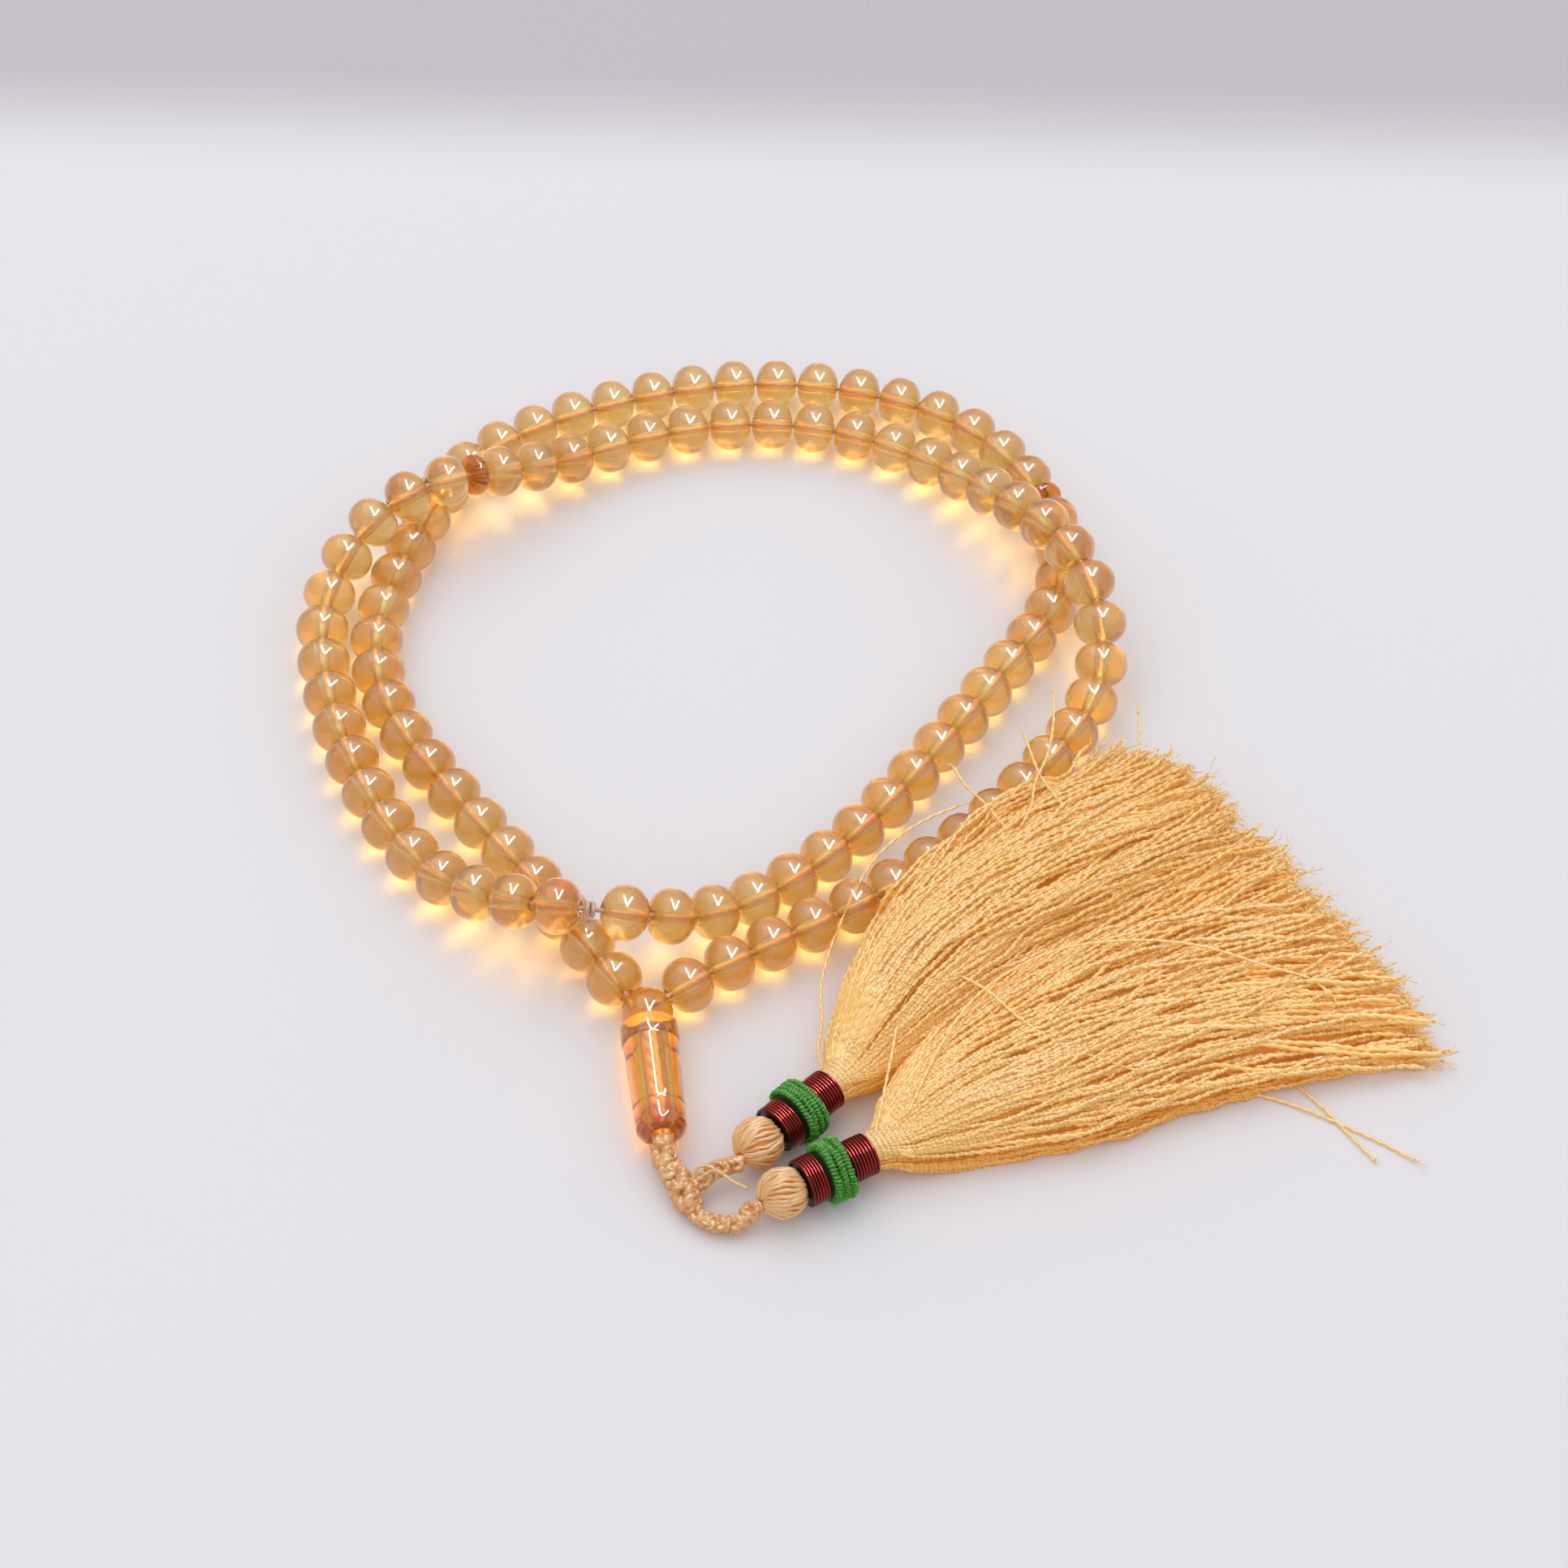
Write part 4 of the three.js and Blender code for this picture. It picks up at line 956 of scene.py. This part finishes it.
def skirt_threads(side, seed):
    """Centre lines (threads, points, 3) in the frame, and how much painted shade each thread gets."""
    rng = np.random.default_rng(seed)
    n, rear = THREADS, side == "rear"
    lock = rng.integers(0, LOCKS, n)
    lock_u = np.sort(rng.uniform(-1, 1, LOCKS))
    lock_v = 1 - 2 * rng.uniform(0, 1, LOCKS) ** 1.7
    lock_v[::4] = rng.uniform(-1.0, -0.8, len(lock_v[::4]))
    u0, v0 = lock_u[lock] + rng.normal(0, 0.035, n), np.clip(lock_v[lock] + rng.normal(0, 0.2, n), -1, 1)
    drift_u = rng.normal(0, 0.1, LOCKS)[lock] + rng.normal(0, 0.05, n)
    drift_v = rng.normal(0, 0.2, LOCKS)[lock] + rng.normal(0, 0.12, n)
    ragged = np.abs(rng.normal(0, 0.036, LOCKS))[lock] + np.abs(rng.normal(0, 0.026, n))
    share_end = np.sqrt(1 - (u0 * 0.24) ** 2) * (0.998 - np.minimum(ragged, 0.1))
    share_end -= 0.035 * rear
    share = np.linspace(0, 1, POINTS)[None] * share_end[:, None]
    stray = rng.uniform(0, 1, n) < STRAY_SHARE
    drift_u = np.where(stray, rng.normal(0, 0.42, n), drift_u)
    v0 = np.where(stray, 1.0, v0)
    swing = 2 * math.pi * (share * rng.uniform(0.6, 1.6, LOCKS)[lock, None]
                           + rng.uniform(0, 1, LOCKS)[lock, None])
    u = np.clip(u0[:, None] + (drift_u[:, None] + 0.07 * np.sin(swing)) * share, -1.03, 1.03)
    v = np.clip(v0[:, None] + drift_v[:, None] * share, -1, 1)
    points = fan(side, u, v, share)
    points[..., 2] += np.where(stray, rng.uniform(0.2, 0.9, n), 0)[:, None] * np.clip(share * 4, 0, 1)
    for reach, low, high in ((0.6, 1.2, 3.2), (0.2, 6, 12)):
        for axis in (1, 2):
            wave = np.sin(2 * math.pi * (share * rng.uniform(low, high, n)[:, None]
                                         + rng.uniform(0, 1, n)[:, None]))
            points[..., axis] += (reach * (0.5 if axis == 2 else 1)) * wave * np.clip(share * 3 - 0.1, 0, 1)
    curl = (rng.normal(0, 1, (LOCKS, 2))[lock] + rng.normal(0, 0.6, (n, 2))) * np.array([2.4, 1.3])
    curl[:, 0] += np.where(u0 > 0.7, np.abs(rng.normal(0, 2.6, n)), 0) * rear
    points[..., 1:] += curl[:, None] * (np.clip((share - 0.6) / 0.4, 0, 1) ** 2)[..., None]
    in_neck = points[:, :1] + np.linspace(-3.2, -0.4, 5)[None, :, None] * [1, 0, 0]
    points = on_tassel(side, np.concatenate([in_neck, points], axis=1))
    past_neck = np.arange(points.shape[1]) > 16
    lowest = np.where(past_neck[None] & rear, bead_floor(points), FLOOR_GAP)
    points[..., 2] = np.maximum(points[..., 2], lowest)
    # Painted shade: lower threads get more of it, with some at random.
    depth = np.clip(0.78 - 0.95 * (v0 + 1) / 2 + 0.16 * rng.normal(0, 1, n), 0, 1)
    return points, depth, rng


def frayed_ends(points, rng):
    """Threads of two fine filaments each, that part at the cut ends."""
    tips, out = [], points[:, -1] - points[:, -4]
    reach = np.linspace(0, 1, 5)[None, :, None]
    for _ in range(2):
        spread = rng.normal(0, 0.55, (len(points), 1, 3))
        length = rng.uniform(0.6, 1.6, (len(points), 1, 1))
        tips.append(points[:, -1:] + unit(out)[:, None] * length * reach + spread * reach**1.5)
    return np.concatenate(tips)


def fray_parts(paths, lowest=-1.0):
    paths[..., 2] = np.maximum(paths[..., 2], lowest)
    return sweep(paths, 0.1, 0.08, 0.2, sides=4, tone=0.25)


for side, seed in (("front", 21), ("rear", 22)):
    paths, depth, rng = skirt_threads(side, seed)
    tones = rng.uniform(-0.25, 0.35, len(paths))
    phases = rng.uniform(0, 6.28, len(paths))
    taper = np.interp(np.arange(paths.shape[1]), [0, 5, 22], [0.6, 0.62, 1.0])
    taper[-2:] = (0.85, 0.5)
    s = np.linspace(0, 1, paths.shape[1])
    for piece in range(PIECES):
        some = np.arange(piece, len(paths), PIECES)
        # Painted shade along each thread, strongest from a quarter to four fifths of its length.
        deep = depth[some][:, None] * np.interp(s, [0, 0.08, 0.25, 0.8, 1], [0.4, 0.6, 1, 0.9, 0.35])[None]
        parts = sweep(paths[some], 0.37, 0.31, 0.3, sides=6, lobe=0.2, taper=taper, groove=0.24,
                      tone=tones[some], deep=deep, phase=phases[some])
        parts += fray_parts(frayed_ends(paths[some], rng), 0.15)
        new_piece(f"{side}_skirt_threads_{piece + 1}", parts, fringe_silk, f"{side}_tassel",
                  [f"{side}_skirt"])
print("skirts:", 2 * THREADS, "threads of about", round(SKIRT_LENGTH), "mm")

# %% [markdown]
# ### Inside of the skirts
# Between the top threads one sees deeper ones. A low ribbed body of silk in painted shade fills each
# fan, so that no floor shows through it.

# %% Skirt cores
for side in ("front", "rear"):
    share, u = np.linspace(0.1, 0.84, 60), np.linspace(-0.84, 0.84, 48)
    S, U = np.meshgrid(share, u, indexing="ij")
    ribs = 0.12 * np.sin(37 * U + 6 * np.sin(5 * S))
    high = on_tassel(side, fan(side, U, ribs - 0.25 + 0.3 * np.clip(S * 4 - 0.4, 0, 1), S))
    low = on_tassel(side, fan(side, U, -0.78 + ribs, S))
    rings = np.concatenate([high, low[:, ::-1]], axis=1)
    v, q, uv = join_rings(rings)
    uv = uv * [24.0, 1.0]
    new_piece(f"{side}_skirt_core", [(v, q, uv, {"tone": -0.1, "deep": 0.5})], fringe_silk, f"{side}_tassel",
              [f"{side}_skirt"])
print("skirt cores: 2")

# %% [markdown]
# ### Stray threads
# Some threads have come away from each fan. They lie across it, on the floor beside it and out
# over the beads. These are placed one by one.

# %% Stray threads
STRAYS = {
    "rear": [
        [[-0.9, -59.3, 5.5], [-1.6, -55.1, 4], [-1.2, -49.1, 3.4], [-1.4, -44.4, 3.6], [-0.4, -38.1, 4.4],
         [1.4, -32.1, 5.6], [4.4, -25.8, 8.4], [8.4, -20.6, 9.0], [12.4, -17.0, 9.2], [17, -14.5, 9.6]],
        [[26, -24.5, 12], [23.7, -20.1, 11], [20.6, -14.3, 10.5], [17.9, -10.5, 10], [16.2, -7.5, 10.2]],
        [[25.5, -20, 12], [27.2, -15.3, 11.4], [27.9, -10.4, 10.8], [29.7, -4.6, 10.4], [30.5, 1.5, 10.4],
         [30.6, 7.7, 10.8]],
        [[40, -10, 9], [41.8, -4.4, 7.5], [43.3, 0, 6.5], [43.7, 4.1, 6.2], [43.6, 8.3, 6.6]],
        [[33, -17, 12], [30.7, -12.7, 11], [28.3, -7.9, 10.4], [26.1, -0.7, 10.4]],
    ],
    "front": [
        [[6.2, -71.0, 6.6], [8.0, -60, 8.9], [10.1, -50, 9.8], [12.6, -46.6, 10.2], [15.8, -45.9, 10.4],
         [20.3, -48.0, 10.2], [25.3, -52.2, 9.8], [31.4, -56.0, 9.4], [39.5, -58.6, 8.2]],
        [[10.2, -68.1, 7.6], [14.5, -58, 9.6], [20.2, -48.5, 10.4], [30.5, -40.8, 10.6], [40.2, -38.2, 10.4],
         [49.8, -38.4, 10], [59.3, -40.2, 9.0], [65.7, -41.4, 8.0], [68.6, -43.6, 7.0]],
        [[50, -50, 2.6], [56, -49.8, 1.2], [60.9, -50.9, 0.5], [66.0, -56.4, 0.45], [70.5, -62.3, 0.45],
         [73.7, -66.0, 0.45]],
        [[42, -55.4, 2.0], [48, -55.2, 0.9], [53.3, -56.2, 0.5], [57.7, -56.1, 0.45], [67.0, -59.1, 0.45],
         [74.9, -62.8, 0.45], [79.0, -65.6, 0.45]],
    ],
}
for side, routes in STRAYS.items():
    parts = []
    for k, route in enumerate(routes):
        path = even_points(route, 0.6)
        wobble = np.sin(np.linspace(0, len(path) / 7, len(path)) + k) * 0.25
        path = path + wobble[:, None] * [0.6, 0.6, 0.2]
        path[:, 2] = np.maximum(path[:, 2], FLOOR_GAP)
        parts += sweep([path], 0.27, 0.17, 0.28, sides=6, tone=0.2)
        parts += fray_parts(frayed_ends(path[None], np.random.default_rng(50 + k)))
    new_piece(f"{side}_stray_threads", parts, fringe_silk, f"{side}_tassel", [f"{side}_skirt"])
print("stray threads:", sum(len(r) for r in STRAYS.values()))

# %% [markdown]
# ## Floor and light
# The beads lie on a plain pale surface, painted greyer towards the back as painted shade where the
# far floor gets less light. The light is a bright even surround with one large soft lamp above, and
# two long narrow lamps that lean together overhead. These two show only in reflections: they draw
# the bright strokes on top of every bead.

# %% Floor
REACH = 9
PALE_FLOOR, SHADED_BACK_FLOOR = (0.83, 0.83, 0.85, 1), (0.585, 0.55, 0.6, 1)
BACK_STARTS, BACK_FULL, BACK_SLANT = 0.138, 0.172, -0.052

floor_mesh = bpy.data.meshes.new("floor")
floor_mesh.from_pydata([(-REACH, -REACH, 0), (REACH, -REACH, 0), (REACH, REACH, 0), (-REACH, REACH, 0)],
                       [], [(0, 1, 2, 3)])
floor = add_object("floor", floor_mesh)
floor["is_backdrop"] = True
paper = bpy.data.materials.new("pale paper")
paper.use_nodes = True
tree = paper.node_tree
position = tree.nodes.new("ShaderNodeTexCoord").outputs["Object"]
split = tree.nodes.new("ShaderNodeSeparateXYZ")
wire(tree, position, split.inputs[0])
towards_back = math_node(tree, "ADD", split.outputs["Y"],
                         math_node(tree, "MULTIPLY", split.outputs["X"], BACK_SLANT))
surface = tree.nodes["Principled BSDF"]
# Painted shade: the floor turns greyer towards the back.
wire(tree, mix_colour(tree, smooth_share(tree, towards_back, BACK_STARTS, BACK_FULL), PALE_FLOOR, SHADED_BACK_FLOOR),
     surface.inputs["Base Color"])
surface.inputs["Roughness"].default_value = 0.6
surface.inputs["Specular IOR Level"].default_value = 0.0
floor_mesh.materials.append(paper)

# %% Lamps
HORIZON, OVERHEAD = (0.66, 0.6, 0.58, 1), (0.96, 0.95, 1.0, 1)
SURROUND_STRENGTH = 0.86

world = bpy.data.worlds.new("surround")
bpy.context.scene.world = world
world.use_nodes = True
tree = world.node_tree
height = tree.nodes.new("ShaderNodeSeparateXYZ")
wire(tree, tree.nodes.new("ShaderNodeTexCoord").outputs["Generated"], height.inputs[0])
wire(tree, mix_colour(tree, smooth_share(tree, height.outputs["Z"], -0.05, 0.75), HORIZON, OVERHEAD),
     tree.nodes["Background"].inputs["Color"])
tree.nodes["Background"].inputs["Strength"].default_value = SURROUND_STRENGTH


def lamp(name, place, width, length, watts, colour=(1, 1, 1), long_way=(0, 1, 0)):
    """An area lamp that shines at the middle of the scene, with its long side turned one way."""
    data = bpy.data.lights.new(name, "AREA")
    data.shape, data.size, data.size_y = "RECTANGLE", width, length
    data.energy, data.color = watts, colour
    made = add_object(name, data)
    back = Vector(place).normalized()
    side = Vector(long_way).cross(back).normalized()
    up = back.cross(side).normalized()
    rotation = Matrix((side, up, back)).transposed().to_4x4()
    made.matrix_world = Matrix.Translation(Vector(place)) @ rotation
    return made


lamp("soft lamp", (-0.35, 0.55, 1.3), 1.4, 1.4, 5.0, colour=(1, 0.985, 0.96))
for name, x, lean, width, watts in (("left tube", -0.07, -0.4, 0.06, 15.0),
                                    ("right tube", 0.36, 0.4, 0.07, 20.0)):
    tube = lamp(name, (x, 0.2, 1.2), width, 1.1, watts, long_way=(lean, 1.05, 0))
    tube.visible_diffuse = tube.visible_transmission = False
bpy.context.scene.view_settings.view_transform = "Standard"
print("lights: a surround and", len(bpy.data.lights), "lamps")

# %% [markdown]
# ## Sizes and the end
# Both boxes are printed: the imported model's, and that of all that is shown here. The pieces
# must stay inside the imported model's box.

# %% Finish
new_low, new_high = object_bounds()
for name, corners in (("packed", (*cad_low, *cad_high)), ("visual", (*new_low, *new_high))):
    print(name, "box:", [round(v, 4) for v in corners])
